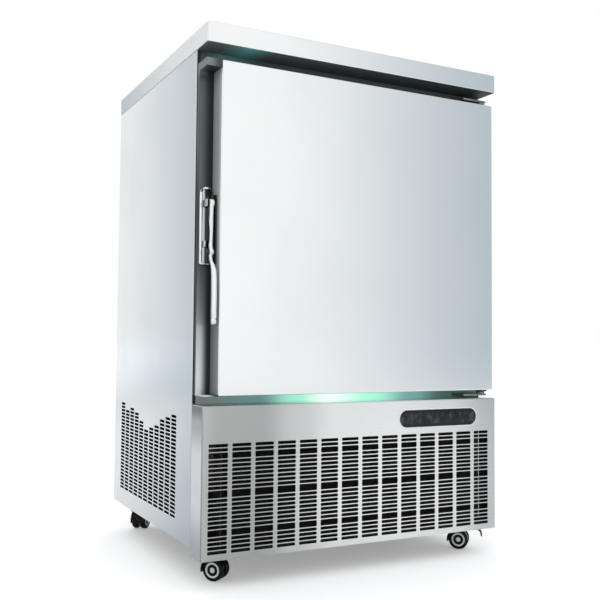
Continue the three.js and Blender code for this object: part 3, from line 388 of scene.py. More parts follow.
def panel_steel(tree):
    """The lower panel's sheet with painted reflection: darker towards its two ends and brightest
    right of the middle.
    """
    tone = tree.ramp(
        tree.share("X"),
        [(0.0, (0.575, 0.57, 0.54)), (0.05, (0.48, 0.49, 0.475)), (0.17, (0.46, 0.48, 0.47)),
         (0.29, (0.70, 0.71, 0.70)), (0.42, (0.93, 0.93, 0.92)), (0.62, (1.0, 1.0, 0.99)),
         (0.78, (0.92, 0.92, 0.91)), (1.0, (0.64, 0.66, 0.655))],
        "EASE",
    )
    return toned(tree, brushed(tree, paint("steel"), SATIN), tone)


def panel_return(tree):
    """The lower panel's folded side: painted shade at the top and the foot, painted light between.
    """
    low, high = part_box("lower_front_panel")
    foot, height = low.z + 0.015, high.z - low.z - 0.020
    tone = tree.ramp(
        (tree.axis("Z") - foot) / height,
        [(0.0, grey(0.60)), (0.35, (1.0, 1.0, 0.99)), (0.65, (1.0, 1.0, 0.98)),
         (0.88, (0.56, 0.56, 0.55)), (1.0, (0.20, 0.21, 0.21))],
        "EASE",
    )
    return toned(tree, brushed(tree, paint("steel"), SATIN, metallic=0.12), tone)


def worktop_end(tree):
    """The worktop's cut end: a matt, faintly pitted face, with painted shade towards the back."""
    pits = tree.noise(190, 3, 0.7)
    tone = tree.ramp(
        tree.share("Y"), [(0.0, grey(1.0)), (0.35, grey(0.97)), (1.0, (0.68, 0.70, 0.73))]
    )
    return {
        "Base Color": tree.blend(tree.span(pits, 0.52, 0.75), tone, (0.64, 0.65, 0.67)),
        "Metallic": 0.25,
        "Roughness": 0.55,
        "Normal": tree.bump(pits, 0.12, 0.0006),
    }


def channel_steel(tree):
    """The handle channel's sheet in painted shade: darker towards the door, with painted light low
    down and on its cap, and a painted shadow line along its left edge.
    """
    low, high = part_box("handle_channel")
    x, y, z = (tree.axis(name) for name in "XYZ")
    upper = tree.blend(
        tree.span(x, low.x + 0.002, low.x + 0.032), (0.42, 0.43, 0.43), grey(0.12)
    )
    lower = tree.blend(
        tree.span(x, low.x + 0.010, low.x + 0.030), grey(2.5), (0.16, 0.17, 0.17)
    )
    tone = tree.blend(tree.span(z, low.z + 0.005, low.z + 0.335), lower, upper)
    # Painted light: the cap is paler.
    cap = tree.span(z, high.z - 0.034, high.z - 0.019)
    tone = tree.blend(cap, tone, tree.times(tone, grey(2.0)))
    # Painted shadow of the gap beside the side panel: a near-black line along the lower part of the
    # channel's left edge.
    painted_gap_line = (
        (1 - tree.span(x, low.x + 0.0002, low.x + 0.0010))
        * tree.span(y, high.y - 0.0120, high.y - 0.0085)
        * (1 - tree.span(z, low.z + 0.445, low.z + 0.555))
    )
    tone = tree.blend(painted_gap_line, tone, grey(0.01))
    return toned(tree, brushed(tree, paint("channel"), 0.30, metallic=0.85), tone)


def door_edge(tree):
    """The door's left edge in painted shade of the channel, with a painted highlight towards its
    front fold, brighter up high than low down.
    """
    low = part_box("door_skin")[0]
    depth = tree.span(tree.axis("Y"), low.y + 0.003, low.y + 0.018)
    upper = tree.blend(depth, grey(2.6), grey(1.75))
    lower = tree.blend(depth, grey(1.2), grey(1.1))
    tone = tree.blend(tree.span(tree.axis("Z"), low.z + 0.135, low.z + 0.385), lower, upper)
    return toned(tree, brushed(tree, paint("channel"), 0.34, metallic=0.3), tone)


def hinge_steel(tree):
    """Plated hinge brackets: the channel's dark colour stands for painted shade of the gap, with
    darker blotches.
    """
    base = paint("channel")
    parts = brushed(tree, base, 0.3, 0.02, 0.08, 0.9)
    parts["Base Color"] = tree.blend(tree.noise(30, 4), parts["Base Color"], shade(base, 0.6))
    return parts


def inner_steel(tree):
    """The chamber, duller than the outer panels."""
    return brushed(tree, paint("inner_steel"), 0.33, 0.08, 0.08)


def zinc(tree):
    """Galvanised sheet with its crystal pattern."""
    base = paint("zinc")
    crystals = tree.add(
        "ShaderNodeTexVoronoi", {"feature": "F1"}, {"Vector": tree.place(), "Scale": 70.0}, "Color"
    )
    facet = tree.axis("X", crystals)
    dust = tree.span(tree.noise(5, 4), 0.45, 0.75)
    return {
        "Base Color": tree.blend(facet * 0.6 + dust * 0.3, base, shade(base, 0.72)),
        "Metallic": 0.9,
        "Roughness": 0.36 + facet * 0.14 + dust * 0.1,
        "Normal": tree.bump(facet, 0.05, 0.0003),
    }


def worn(
    colour_name, marks, tint, rough, rougher=0.0, metallic=0.0, share=1.0, grain=None, gloss=0.5
):
    """A plain finish that takes another tint and roughness in cloudy marks.

    The marks are a noise's scale and detail and the part of it that shows, the tint is a
    colour or a factor, and the grain is a fine bump's scale, detail, strength and depth."""

    def build(tree):
        base = paint(colour_name)
        cloud = tree.noise(*marks[:2])
        if marks[2:]:
            cloud = tree.span(cloud, *marks[2:])
        second = tint if isinstance(tint, tuple) else shade(base, tint)
        parts = {
            "Base Color": tree.blend(cloud if share == 1 else cloud * share, base, second),
            "Metallic": metallic,
            "Roughness": rough + cloud * rougher if rougher else rough,
            "Specular IOR Level": gloss,
        }
        if grain:
            parts["Normal"] = tree.bump(tree.noise(*grain[:2]), *grain[2:])
        return parts

    return build


def moulded(colour_name, rough, dusty, gloss=0.5):
    """Moulded plastic or rubber with a fine grain and dust."""
    dust, grain = (14, 4, 0.5, 0.8), (900, 2, 0.12, 0.0002)
    return worn(colour_name, dust, 1.7, rough, dusty, share=0.5, grain=grain, gloss=gloss)


# Polished cast metal with faint handling marks.
chrome = worn(
    "chrome", (22, 4, 0.5, 0.8), 0.86, 0.09, 0.14, metallic=1.0, grain=(160, 2, 0.03, 0.0003)
)


def lever_chrome(tree):
    """The lever's chrome with a painted reflection: a white middle between two dark flanks."""
    parts = chrome(tree)
    flank = tree.span(abs(tree.axis("X") - LATCH_PIVOT.x), 0.0046, 0.0072)
    parts["Base Color"] = tree.blend(flank, grey(1.0), (0.05, 0.055, 0.055))
    parts["Metallic"] = 0.12 + flank * 0.8
    return parts


def smoked_chrome(tree):
    """Painted shade in the hollow of the latch housing, with one painted highlight streak along it.
    """
    hollow_start, hollow_width = LATCH_PIVOT.x - 0.024, 0.030
    tone = tree.ramp(
        (tree.axis("X") - hollow_start) / hollow_width,
        [(0.0, (0.30, 0.31, 0.31)), (0.14, (0.07, 0.075, 0.075)), (0.30, (0.04, 0.045, 0.045)),
         (0.36, (0.70, 0.72, 0.72)), (0.47, (0.60, 0.62, 0.62)), (0.53, (0.06, 0.065, 0.065)),
         (0.75, grey(0.03)), (1.0, grey(0.05))],
        "EASE",
    )
    return toned(tree, chrome(tree), tone)


def foam(tree):
    """Foamed insulation with fine cells."""
    base = paint("foam")
    cells = tree.add(
        "ShaderNodeTexVoronoi", {"feature": "F1"}, {"Vector": tree.place(), "Scale": 900.0}
    )
    return {
        "Base Color": tree.blend(tree.noise(8, 5), base, shade(base, 0.7)),
        "Roughness": 0.95,
        "Normal": tree.bump(cells, 0.4, 0.0005),
    }


def board(tree):
    """Pressed board with flat chips."""
    base = paint("board")
    chips = tree.noise(180, 4, 0.7, (1, 2.5, 6))
    return {
        "Base Color": tree.blend(chips, base, shade(base, 0.55)),
        "Roughness": 0.8 + chips * 0.15,
        "Normal": tree.bump(chips, 0.3, 0.0006),
    }


def glass(tree):
    """Dark display glass: wiped smudges in the middle, darker towards its long edges."""
    low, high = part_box("display_lens")
    middle, half = (low.z + high.z) / 2, (high.z - low.z) / 2
    inside = 1 - tree.span(abs(tree.axis("Z") - middle) / half, 0.45, 0.85)
    wipe = tree.span(tree.noise(60, 5, 0.65, (1, 1, 0.7)), 0.42, 0.75) * inside
    return {
        "Base Color": tree.blend(wipe, paint("glass"), (0.075, 0.078, 0.085)),
        "Roughness": 0.16 + wipe * 0.3,
        "Specular IOR Level": 0.22,
        "Coat Weight": 0.1,
        "Coat Roughness": 0.05,
    }


def frame_steel(tree):
    """The front frame: brushed steel, with a painted teal glow on its lower rail and painted shade
    with a painted teal reflection on its upper rail.
    """
    parts = brushed(tree, paint("steel"), 0.3)
    mint, dark = paint("ledge"), paint("ledge_edge")
    peak, teal = paint("ledge_peak"), paint("ledge_teal")
    lower = tree.ramp(
        tree.share("X"),
        [(0.0, (0.12, 0.13, 0.13)), (0.20, teal), (0.32, shade(mint, 0.9)), (0.43, peak),
         (0.58, mint), (0.73, shade(teal, 1.5)), (0.85, dark), (1.0, dark)],
        "EASE",
    )
    upper = tree.ramp(
        tree.share("X"),
        [(0.0, grey(0.05)), (0.07, (0.16, 0.34, 0.32)), (0.18, (0.10, 0.13, 0.13)),
         (1.0, (0.11, 0.12, 0.12))],
    )
    door_low, door_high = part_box("door_skin")
    height = tree.axis("Z")
    low_rail = 1 - tree.span(height, door_low.z - 0.005, door_low.z + 0.035)
    high_rail = tree.span(height, door_high.z - 0.014, door_high.z + 0.006)
    tint = tree.blend(low_rail, parts["Base Color"], lower)
    parts["Base Color"] = tree.blend(high_rail, tint, upper)
    parts["Metallic"] = 1 - (low_rail + high_rail) * 0.8
    # The painted glow is emission on the lower rail.
    parts["Emission Color"] = tree.blend(low_rail, grey(0.0), lower)
    parts["Emission Strength"] = 0.8
    return parts


def underside(tree):
    """Painted shade under the worktop's overhang, paler near its left end, with a painted teal
    reflection there.
    """
    base = paint("underside")
    coat = tree.noise(300, 3)
    tint = tree.ramp(
        tree.share("X"),
        [(0.0, (0.17, 0.15, 0.145)), (0.06, (0.14, 0.15, 0.15)), (0.13, (0.15, 0.46, 0.43)),
         (0.21, shade(base, 1.8)), (0.38, shade(base, 1.4)), (1.0, (0.020, 0.036, 0.035))],
    )
    return {
        "Base Color": tint,
        "Roughness": 0.5 + coat * 0.2,
        "Normal": tree.bump(coat, 0.1, 0.0005),
    }


FINISHES = {
    maker.__name__: maker
    for maker in (
        steel, panel_steel, panel_return, worktop_end, channel_steel, door_edge, hinge_steel,
        inner_steel, zinc, lever_chrome, smoked_chrome, foam, board, glass, frame_steel, underside,
    )
}
FINISHES.update({
    "chrome": chrome,
    "bright_trim": worn("trim", (90, 3), (0.90, 0.91, 0.90), 0.35, 0.1, metallic=0.15),
    # Dark lining, and painted shade on the parts seen through the louvres.
    "dark_lining": worn("lining", (60, 4), 1.8, 0.9),
    # Painted shadow of the gap, on the side panels' front folds.
    "seam": worn("seam", (40, 3), grey(0.03), 0.6),
    "enamel": worn(
        "enamel", (9, 4, 0.5, 0.8), (0.10, 0.095, 0.085), 0.28, 0.35, share=0.5,
        grain=(120, 3, 0.1, 0.0006),
    ),
    "copper": worn(
        "copper", (30, 4, 0.42, 0.78), (0.30, 0.14, 0.09), 0.25, 0.25, metallic=0.95,
        grain=(200, 2, 0.05, 0.0003),
    ),
    # Near-black fins: dark coating and painted shade, with paler dust.
    "fins": worn("fins", DUST_ON_FINS, 2.2, 0.6, 0.3, metallic=0.1),
    "evaporator_fins": worn("evaporator_fins", DUST_ON_FINS, 0.6, 0.38, 0.2, metallic=0.9),
    "rubber": moulded("rubber", 0.55, 0.2),
    "tyre": moulded("tyre", 0.20, 0.15, 0.18),
    "black_plastic": moulded("black", 0.30, 0.18, 0.18),
    "grey_plastic": moulded("grey", 0.45, 0.15),
    "wheel_ring": moulded("ring", 0.35, 0.1),
})


def finish(name):
    """The material of that finish, made the first time that it is asked for."""
    found = bpy.data.materials.get(name + "_finish")
    if found is None:
        found = bpy.data.materials.new(name + "_finish")
        found.use_nodes = True
        tree = Tree(found.node_tree)
        principled(tree, FINISHES[name](tree))
    return found


# ---- Mesh helpers ----------------------------------------------------------------------------
def linked(name, data):
    """A new object of that data in the scene."""
    made = bpy.data.objects.new(name, data)
    bpy.context.scene.collection.objects.link(made)
    return made


def mesh_of(bm, name):
    """The bmesh as a mesh; the bmesh is freed."""
    mesh = bpy.data.meshes.new(name)
    bm.to_mesh(mesh)
    bm.free()
    return mesh


def piece(bm, name, body, finishes, replaces=(), smooth=None, wall=0.0, lined=False):
    """Turns a bmesh into a piece that rides on a body; smooth is an angle in degrees.

    A lined piece has its last finish on the inside of its wall."""
    for face in bm.faces:
        face.smooth = smooth is not None
    mesh = mesh_of(bm, name)
    if smooth is not None:
        mesh.set_sharp_from_angle(angle=math.radians(smooth))
    for one in finishes:
        mesh.materials.append(finish(one))
    made = linked(name, mesh)
    if wall:
        solid = made.modifiers.new("Wall", "SOLIDIFY")
        solid.thickness = wall
        solid.offset = -1
        solid.use_even_offset = True
        if lined:
            solid.material_offset = len(finishes)
    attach(made, body)
    if replaces:
        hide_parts(*replaces)


def body_of(node):
    """The body that a CAD node rides on."""
    return frame["nodes"][node]["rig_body"]


def box(bm, low, high):
    """Adds a box between two corners and returns its vertices."""
    low, high = Vector(low), Vector(high)
    place = Matrix.Translation((low + high) / 2) @ Matrix.Diagonal((*(high - low), 1))
    return bmesh.ops.create_cube(bm, size=1, matrix=place)["verts"]


def bevel(bm, edges, radius, segments=3):
    """Rounds edges."""
    bmesh.ops.bevel(
        bm, geom=list(edges), offset=radius, offset_type="OFFSET", segments=segments,
        profile=0.5, affect="EDGES", clamp_overlap=True, material=-1,
    )


def bevel_box(bm, low, high, radius, segments=3):
    """A box with all its edges rounded."""
    verts = box(bm, low, high)
    bevel(bm, {edge for vert in verts for edge in vert.link_edges}, radius, segments)


def rounded_face(bm, corners, radius, segments):
    """Adds one face and rounds its corners."""
    verts = [bm.verts.new(point) for point in corners]
    bm.faces.new(verts)
    bmesh.ops.bevel(
        bm, geom=verts, offset=radius, offset_type="OFFSET", segments=segments,
        profile=0.5, affect="VERTICES", clamp_overlap=False, material=-1,
    )
    bmesh.ops.remove_doubles(bm, verts=bm.verts[:], dist=WELD)


def shift_new(bm, made, way):
    """Moves the vertices that an extrusion or a copy made."""
    verts = [part for part in made["geom"] if isinstance(part, bmesh.types.BMVert)]
    bmesh.ops.translate(bm, vec=way, verts=verts)


def inset(bm, face, thickness, depth=0.0):
    """Insets one face, its outline included, and moves it along its normal."""
    bmesh.ops.inset_region(
        bm, faces=[face], thickness=thickness, depth=depth, use_boundary=True, use_even_offset=True
    )


def side_of(face):
    """The side that a face looks to, such as -Y."""
    axis = max(range(3), key=lambda i: abs(face.normal[i]))
    return ("+" if face.normal[axis] > 0 else "-") + "XYZ"[axis]


def folded_box(low, high, open_sides, radius, segments=5):
    """A sheet metal tray: a box without its open sides, its folds rounded."""
    bm = bmesh.new()
    box(bm, low, high)
    bm.normal_update()
    gone = [face for face in bm.faces if side_of(face) in open_sides]
    bmesh.ops.delete(bm, geom=gone, context="FACES")
    bevel(bm, [edge for edge in bm.edges if len(edge.link_faces) == 2], radius, segments)
    bm.normal_update()
    return bm


def widest(bm, side):
    """The largest face that looks to that side."""
    return max((f for f in bm.faces if side_of(f) == side), key=lambda f: f.calc_area())


def opening_rim(width, height, corner, rim, steps, turn):
    """A bmesh of one opening's dimpled rim round the origin, looking along the turn's own Z."""
    bm = bmesh.new()
    half_width, half_height = width / 2 + rim, height / 2 + rim
    signs = ((-1, -1), (1, -1), (1, 1), (-1, 1))
    rounded_face(
        bm, [(sx * half_width, sy * half_height, 0) for sx, sy in signs], corner + rim, steps
    )
    inner = max(bm.faces, key=lambda f: f.calc_area())
    inset(bm, inner, rim, -rim)
    bmesh.ops.delete(bm, geom=[inner], context="FACES_ONLY")
    loose = [edge for edge in bm.edges if not edge.link_faces]
    bmesh.ops.delete(bm, geom=loose, context="EDGES")
    bmesh.ops.transform(bm, matrix=turn, verts=bm.verts[:])
    return bm


def punch(bm, face, turn, groups):
    """Opens a flat face: each group is an opening's sizes and the middles where it is cut.

    The sizes are its width, height, corner radius, rim width and the steps of a corner."""
    plane, normal = face.calc_center_median(), face.normal.copy()
    bmesh.ops.delete(bm, geom=[face], context="FACES_ONLY")
    for opening, middles in groups:
        rims = opening_rim(*opening, turn)
        first_verts = rims.verts[:]
        first = first_verts + rims.edges[:] + rims.faces[:]
        for middle in middles:
            shift_new(rims, bmesh.ops.duplicate(rims, geom=first), middle)
        bmesh.ops.delete(rims, geom=first_verts)
        holder = mesh_of(rims, "rims")
        bm.from_mesh(holder)
        bpy.data.meshes.remove(holder)
    on_plane = {vert for vert in bm.verts if abs((vert.co - plane).dot(normal)) < 10 * WELD}
    rim_edges = [
        edge for edge in bm.edges
        if len(edge.link_faces) < 2 and all(vert in on_plane for vert in edge.verts)
    ]
    bmesh.ops.triangle_fill(bm, edges=rim_edges, use_beauty=True, use_dissolve=False, normal=normal)
    bmesh.ops.recalc_face_normals(bm, faces=bm.faces[:])


def spin(bm, parts, middle, axis, steps, angle=math.tau):
    """Spins vertices and edges about an axis; a full turn closes on itself."""
    bmesh.ops.spin(
        bm, geom=parts, cent=middle, axis=axis, angle=angle, steps=steps,
        use_merge=angle == math.tau, use_normal_flip=False, use_duplicate=False,
    )


def spun(bm, outline, axis_start, axis, start, steps=32):
    """Spins an outline of (distance along the axis, radius) pairs about an axis."""
    verts = [bm.verts.new(axis_start + axis * along + start * radius) for along, radius in outline]
    edges = [bm.edges.new(pair) for pair in zip(verts, verts[1:])]
    spin(bm, verts + edges, axis_start, axis, steps)
    bmesh.ops.remove_doubles(bm, verts=bm.verts[:], dist=WELD)


def circle(bm, radius, segments, place):
    """Adds a circle and returns its vertices and its edges."""
    verts = bmesh.ops.create_circle(
        bm, cap_ends=False, radius=radius, segments=segments, matrix=place
    )["verts"]
    return list(verts), list({edge for vert in verts for edge in vert.link_edges})


def cylinder(bm, radius, depth, segments, place, top_share=1.0):
    """Adds a capped cylinder, narrower at the top by a share, and returns its vertices."""
    return bmesh.ops.create_cone(
        bm, cap_ends=True, segments=segments, radius1=radius, radius2=radius * top_share,
        depth=depth, matrix=place,
    )["verts"]


def lofted(bm, stations, segments):
    """Skins level rings round a row of (middle, radius) stations, and closes both ends."""
    rings = [
        circle(bm, radius, segments, Matrix.Translation(middle))[1] for middle, radius in stations
    ]
    for ends in (rings[0], rings[-1]):
        bmesh.ops.edgeloop_fill(bm, edges=ends)
    for lower, upper in zip(rings, rings[1:]):
        bmesh.ops.bridge_loops(bm, edges=lower + upper)


def arc(middle, radii, start, end, steps):
    """Points of an arc with two radii, from one angle to another in degrees."""
    turns = [math.radians(start + (end - start) * i / steps) for i in range(steps + 1)]
    return [
        (middle[0] + radii[0] * math.cos(t), middle[1] + radii[1] * math.sin(t)) for t in turns
    ]


def closed(bm):
    """The bmesh with its faces turned outwards."""
    bmesh.ops.recalc_face_normals(bm, faces=bm.faces[:])
    return bm


def finished_copy(node, finish_name, radius=None, segments=2, smooth=None):
    """A merged copy of a CAD node with its edges rounded, standing for that node."""
    bm = bmesh.new()
    bm.from_mesh(frame["nodes"][node].data)
    bmesh.ops.remove_doubles(bm, verts=bm.verts[:], dist=10 * WELD)
    bmesh.ops.dissolve_limit(
        bm, angle_limit=math.radians(1), verts=bm.verts[:], edges=bm.edges[:]
    )
    sharp = [
        edge for edge in bm.edges
        if len(edge.link_faces) == 2 and edge.calc_face_angle() > math.radians(32)
    ]
    bevel(bm, sharp, sizes().edge if radius is None else radius, segments)
    piece(bm, node + "_finished", body_of(node), [finish_name], [node], smooth)


def screw_heads(name, points, normal, radius):
    """Pan head screws with a recess; normal is the way that the heads look."""
    bm = bmesh.new()
    turn = normal.to_track_quat("Z", "Y").to_matrix().to_4x4()
    for point in points:
        place = Matrix.Translation(Vector(point) + normal * radius * 0.25) @ turn
        head = cylinder(bm, radius, radius * 0.5, 14, place, 0.72)
        top = max(
            {face for vert in head for face in vert.link_faces},
            key=lambda face: face.calc_center_median().dot(normal),
        )
        inset(bm, top, radius * 0.3)
        inset(bm, top, radius * 0.06, -radius * 0.3)
    piece(closed(bm), name, "cabinet", ["chrome"], smooth=30)


def edge_points(low, high, y, edge):
    """Screw places along the upper and the lower edge of an upright sheet."""
    return [
        (x, y, z)
        for x in (low.x + edge, 0.0, high.x - edge)
        for z in (low.z + edge, high.z - edge)
    ]


def face_place(side):
    """Turns the rim plane (its X along, its Y up, its Z outward) to the front or the left side."""
    if side == "-Y":
        return Matrix(((1, 0, 0, 0), (0, 0, -1, 0), (0, 1, 0, 0), (0, 0, 0, 1)))
    return Matrix(((0, 0, -1, 0), (-1, 0, 0, 0), (0, 1, 0, 0), (0, 0, 0, 1)))


# ---- Operators: shells -----------------------------------------------------------------------
class CHILLER_OT_worktop(bpy.types.Operator):
    """Folded worktop with a lip, and painted shade on its underside"""

    bl_idname = "chiller.worktop"
    bl_label = "Worktop"

    def execute(self, context):
        s = sizes()
        low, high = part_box("worktop")
        bm = folded_box(low, high, (), s.fold)
        bottom = widest(bm, "-Z")
        inset(bm, bottom, s.worktop_lip - s.fold)
        front = min(vert.co.y for vert in bottom.verts)
        for vert in bottom.verts:
            if vert.co.y < front + s.sheet:
                vert.co.y += s.overhang
        bmesh.ops.delete(bm, geom=[bottom], context="FACES_ONLY")
        bm.normal_update()
        # Painted shade under the overhang; the cut ends take their own painted tone.
        for face in bm.faces:
            if face.normal.z < -0.7:
                face.material_index = 1
            elif abs(face.normal.x) > 0.9:
                face.material_index = 2
        piece(
            bm, "worktop_shell", "cabinet", ["steel", "underside", "worktop_end"],
            ["worktop"], wall=s.sheet,
        )
        return {"FINISHED"}


class CHILLER_OT_side_panels(bpy.types.Operator):
    """Folded side panels, the left one with its vents"""

    bl_idname = "chiller.side_panels"
    bl_label = "Side panels"
    # Vents in each column, from the front, and where the first one lies from the front and foot.
    rows = (26, 25, 24, 22, 21, 20, 22, 24, 25, 24, 26)
    first_column = 0.186
    first_row = 0.0643

    def execute(self, context):
        s = sizes()
        low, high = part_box("left_side_panel")
        bm = folded_box(low, high, ("+X", "+Z", "-Z"), s.fold)
        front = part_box("worktop")[0].y
        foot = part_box("base_frame")[0].z
        middles = [
            Vector((
                low.x,
                front + self.first_column + column * s.vent_pitch,
                foot + self.first_row + row * s.vent_row,
            ))
            for column, count in enumerate(self.rows)
            for row in range(count)
        ]
        slot = (s.vent_slot, s.vent_height, s.slot_corner, s.slot_rim, 2)
        punch(bm, widest(bm, "-X"), face_place("-X"), [(slot, middles)])
        self.dress(bm, "left")
        low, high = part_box("right_side_panel")
        self.dress(folded_box(low, high, ("-X", "+Z", "-Z"), s.fold), "right")
        return {"FINISHED"}

    @staticmethod
    def dress(bm, side):
        """Gives a shell its front fold in near-black painted shadow of the gap beside it, and its
        dark lining.
        """
        for face in bm.faces:
            if face.normal.y < -0.5:
                face.material_index = 1
        piece(
            bm, f"{side}_side_shell", "cabinet", ["steel", "seam", "dark_lining"],
            [f"{side}_side_panel"], wall=sizes().sheet, lined=True,
        )


class CHILLER_OT_lower_panel(bpy.types.Operator):
    """Louvred lower front panel with its display opening"""

    bl_idname = "chiller.lower_panel"
    bl_label = "Lower front panel"
    # Louvre columns, and how far their middle lies off the panel's.
    columns = 14
    shift = -0.0040
    # Slots in each group of a column, from the foot, and the heights of the tall ones between.
    groups = (4, 7, 7, 2)
    tall = (0.0134, 0.0154, 0.0124)
    foot = 0.020

    def openings(self, s, start):
        """(middle height, height) of each opening in a column, from the bottom up."""
        found = []
        z = start + s.grille_foot
        for group, count in enumerate(self.groups):
            heights = [s.grille_height] * count + list(self.tall[group:group + 1])
            for height in heights:
                found.append((z + height / 2, height))
                z += height + s.grille_bar
        return found

    def execute(self, context):
        s = sizes()
        low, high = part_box("lower_front_panel")
        bm = folded_box(low, high, ("+Y", "-Z"), s.fold)
        front = widest(bm, "-Y")
        foot_edge = [
            edge for edge in front.edges
            if all(abs(vert.co.z - low.z) < WELD for vert in edge.verts)
        ]
        shift_new(bm, bmesh.ops.extrude_edge_only(bm, edges=foot_edge), BACK * self.foot)
        bm.normal_update()
        first = self.shift - s.grille_pitch * (self.columns - 1) / 2
        by_height = {}
        for middle, height in self.openings(s, low.z):
            for column in range(self.columns):
                point = Vector((first + column * s.grille_pitch, low.y, middle))
                by_height.setdefault(round(height, 6), []).append(point)
        groups = [
            ((s.grille_slot, height, s.slot_corner, s.slot_rim, 2), middles)
            for height, middles in by_height.items()
        ]
        lens_low, lens_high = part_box("display_lens")
        lens_middle = (lens_low + lens_high) / 2
        lens_middle.y = low.y
        hole = lens_high - lens_low
        groups.append(((hole.x, hole.z, hole.z / 2, s.edge, 10), [lens_middle]))
        punch(bm, widest(bm, "-Y"), face_place("-Y"), groups)
        # Painted shade and light on the folded left side; the inside takes the dark lining, which is
        # also painted shade.
        for face in bm.faces:
            if face.normal.x < -0.9 and face.calc_center_median().x < low.x + s.sheet:
                face.material_index = 1
        piece(
            bm, "lower_front_shell", "cabinet", ["panel_steel", "panel_return", "dark_lining"],
            ["lower_front_panel"], wall=s.sheet, lined=True,
        )
        return {"FINISHED"}


class CHILLER_OT_display(bpy.types.Operator):
    """Obround display glass and its bright rim"""

    bl_idname = "chiller.display"
    bl_label = "Display"

    rim_edge = 0.0012
    # Width and rise of each step of the rim, from the outside in.
    rim_steps = ((0.0006, 0.0010), (0.0008, 0.0004), (0.0008, -0.0004), (0.0004, -0.0010))

    def execute(self, context):
        low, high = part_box("display_lens")
        bm = self.obround(low, high, high.y)
        raised = bmesh.ops.extrude_face_region(bm, geom=bm.faces[:], use_keep_orig=True)
        shift_new(bm, raised, BACK * (low.y - high.y))
        closed(bm)
        rim = [e for e in bm.edges if all(abs(v.co.y - low.y) < WELD for v in e.verts)]
        bevel(bm, rim, self.rim_edge, 4)
        piece(bm, "display_glass", "cabinet", ["glass"], ["display_lens"], smooth=40)
        low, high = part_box("display_bezel")
        bm = self.obround(low, high, high.y)
        ring = bm.faces[0]
        for thickness, depth in self.rim_steps:
            inset(bm, ring, thickness, depth)
        bmesh.ops.delete(bm, geom=[ring], context="FACES_ONLY")
        piece(
            bm, "display_rim", "cabinet", ["bright_trim"], ["display_bezel"], smooth=50
        )
        return {"FINISHED"}

    @staticmethod
    def obround(low, high, y):
        """One face with round ends, looking forward."""
        bm = bmesh.new()
        ends = ((low.x, low.z), (high.x, low.z), (high.x, high.z), (low.x, high.z))
        rounded_face(bm, [(x, y, z) for x, z in ends], (high.z - low.z) / 2, 12)
        bm.faces.ensure_lookup_table()
        return bm


class CHILLER_OT_door(bpy.types.Operator):
    """Door shell, pressed inner panel, ribbed gasket, handle channel and hinge bushes"""

    bl_idname = "chiller.door"
    bl_label = "Door"
    # Margin and slope of the inner panel's pressed field.
    field = 0.085
    press = 0.006
    # Width and rise of each step across the gasket, and the width of its inner land.
    land = 0.0015
    ribs = ((0.0015, 0.0), (0.0015, 0.0026), (0.0035, 0.0), (0.0015, -0.0024), (0.003, 0.0),
            (0.0015, 0.0024), (0.0035, 0.0), (0.0015, -0.0026))

    def execute(self, context):
        s = sizes()
        low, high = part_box("door_skin")
        bm = folded_box(low, high, ("+Y",), s.fold)
        # The shell's left side takes painted shade of the channel, with a painted highlight at its
        # front fold.
        for face in bm.faces:
            if face.normal.x < -0.9:
                face.material_index = 1
        piece(
            bm, "door_shell", "door", ["steel", "door_edge"], ["door_skin"], wall=s.sheet
        )
        low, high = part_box("door_inner_panel")
        bm = bmesh.new()
        box(bm, low, high)
        bm.normal_update()
        inner = widest(bm, "+Y")
        inset(bm, inner, self.field)
        inset(bm, inner, self.press, -s.sheet * 0.8)
        piece(
            bm, "door_inner_pressing", "door", ["inner_steel"], ["door_inner_panel"]
        )
        self.gasket()
        finished_copy("handle_channel", "channel_steel", 0.0012, 3)
        for node in ("top_hinge_bush", "bottom_hinge_bush"):
            finished_copy(node, "black_plastic", smooth=30)
        return {"FINISHED"}

    def gasket(self):
        """A bellows profile swept round the opening by a chain of insets."""
        low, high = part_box("door_gasket")
        width = sum(step[0] for step in self.ribs) + self.land
        rise = max(step[1] for step in self.ribs)
        bm = bmesh.new()
        box(bm, low, (high.x, high.y - rise, high.z))
        bm.normal_update()
        front, rear = widest(bm, "+Y"), widest(bm, "-Y")
        for thickness, depth in self.ribs:
            inset(bm, front, thickness, depth)
        inset(bm, front, self.land)
        inset(bm, rear, width)
        loops = list(front.edges) + list(rear.edges)
        bmesh.ops.delete(bm, geom=[front, rear], context="FACES_ONLY")
        bmesh.ops.bridge_loops(bm, edges=loops)
        piece(closed(bm), "door_gasket_bellows", "door", ["rubber"], ["door_gasket"])


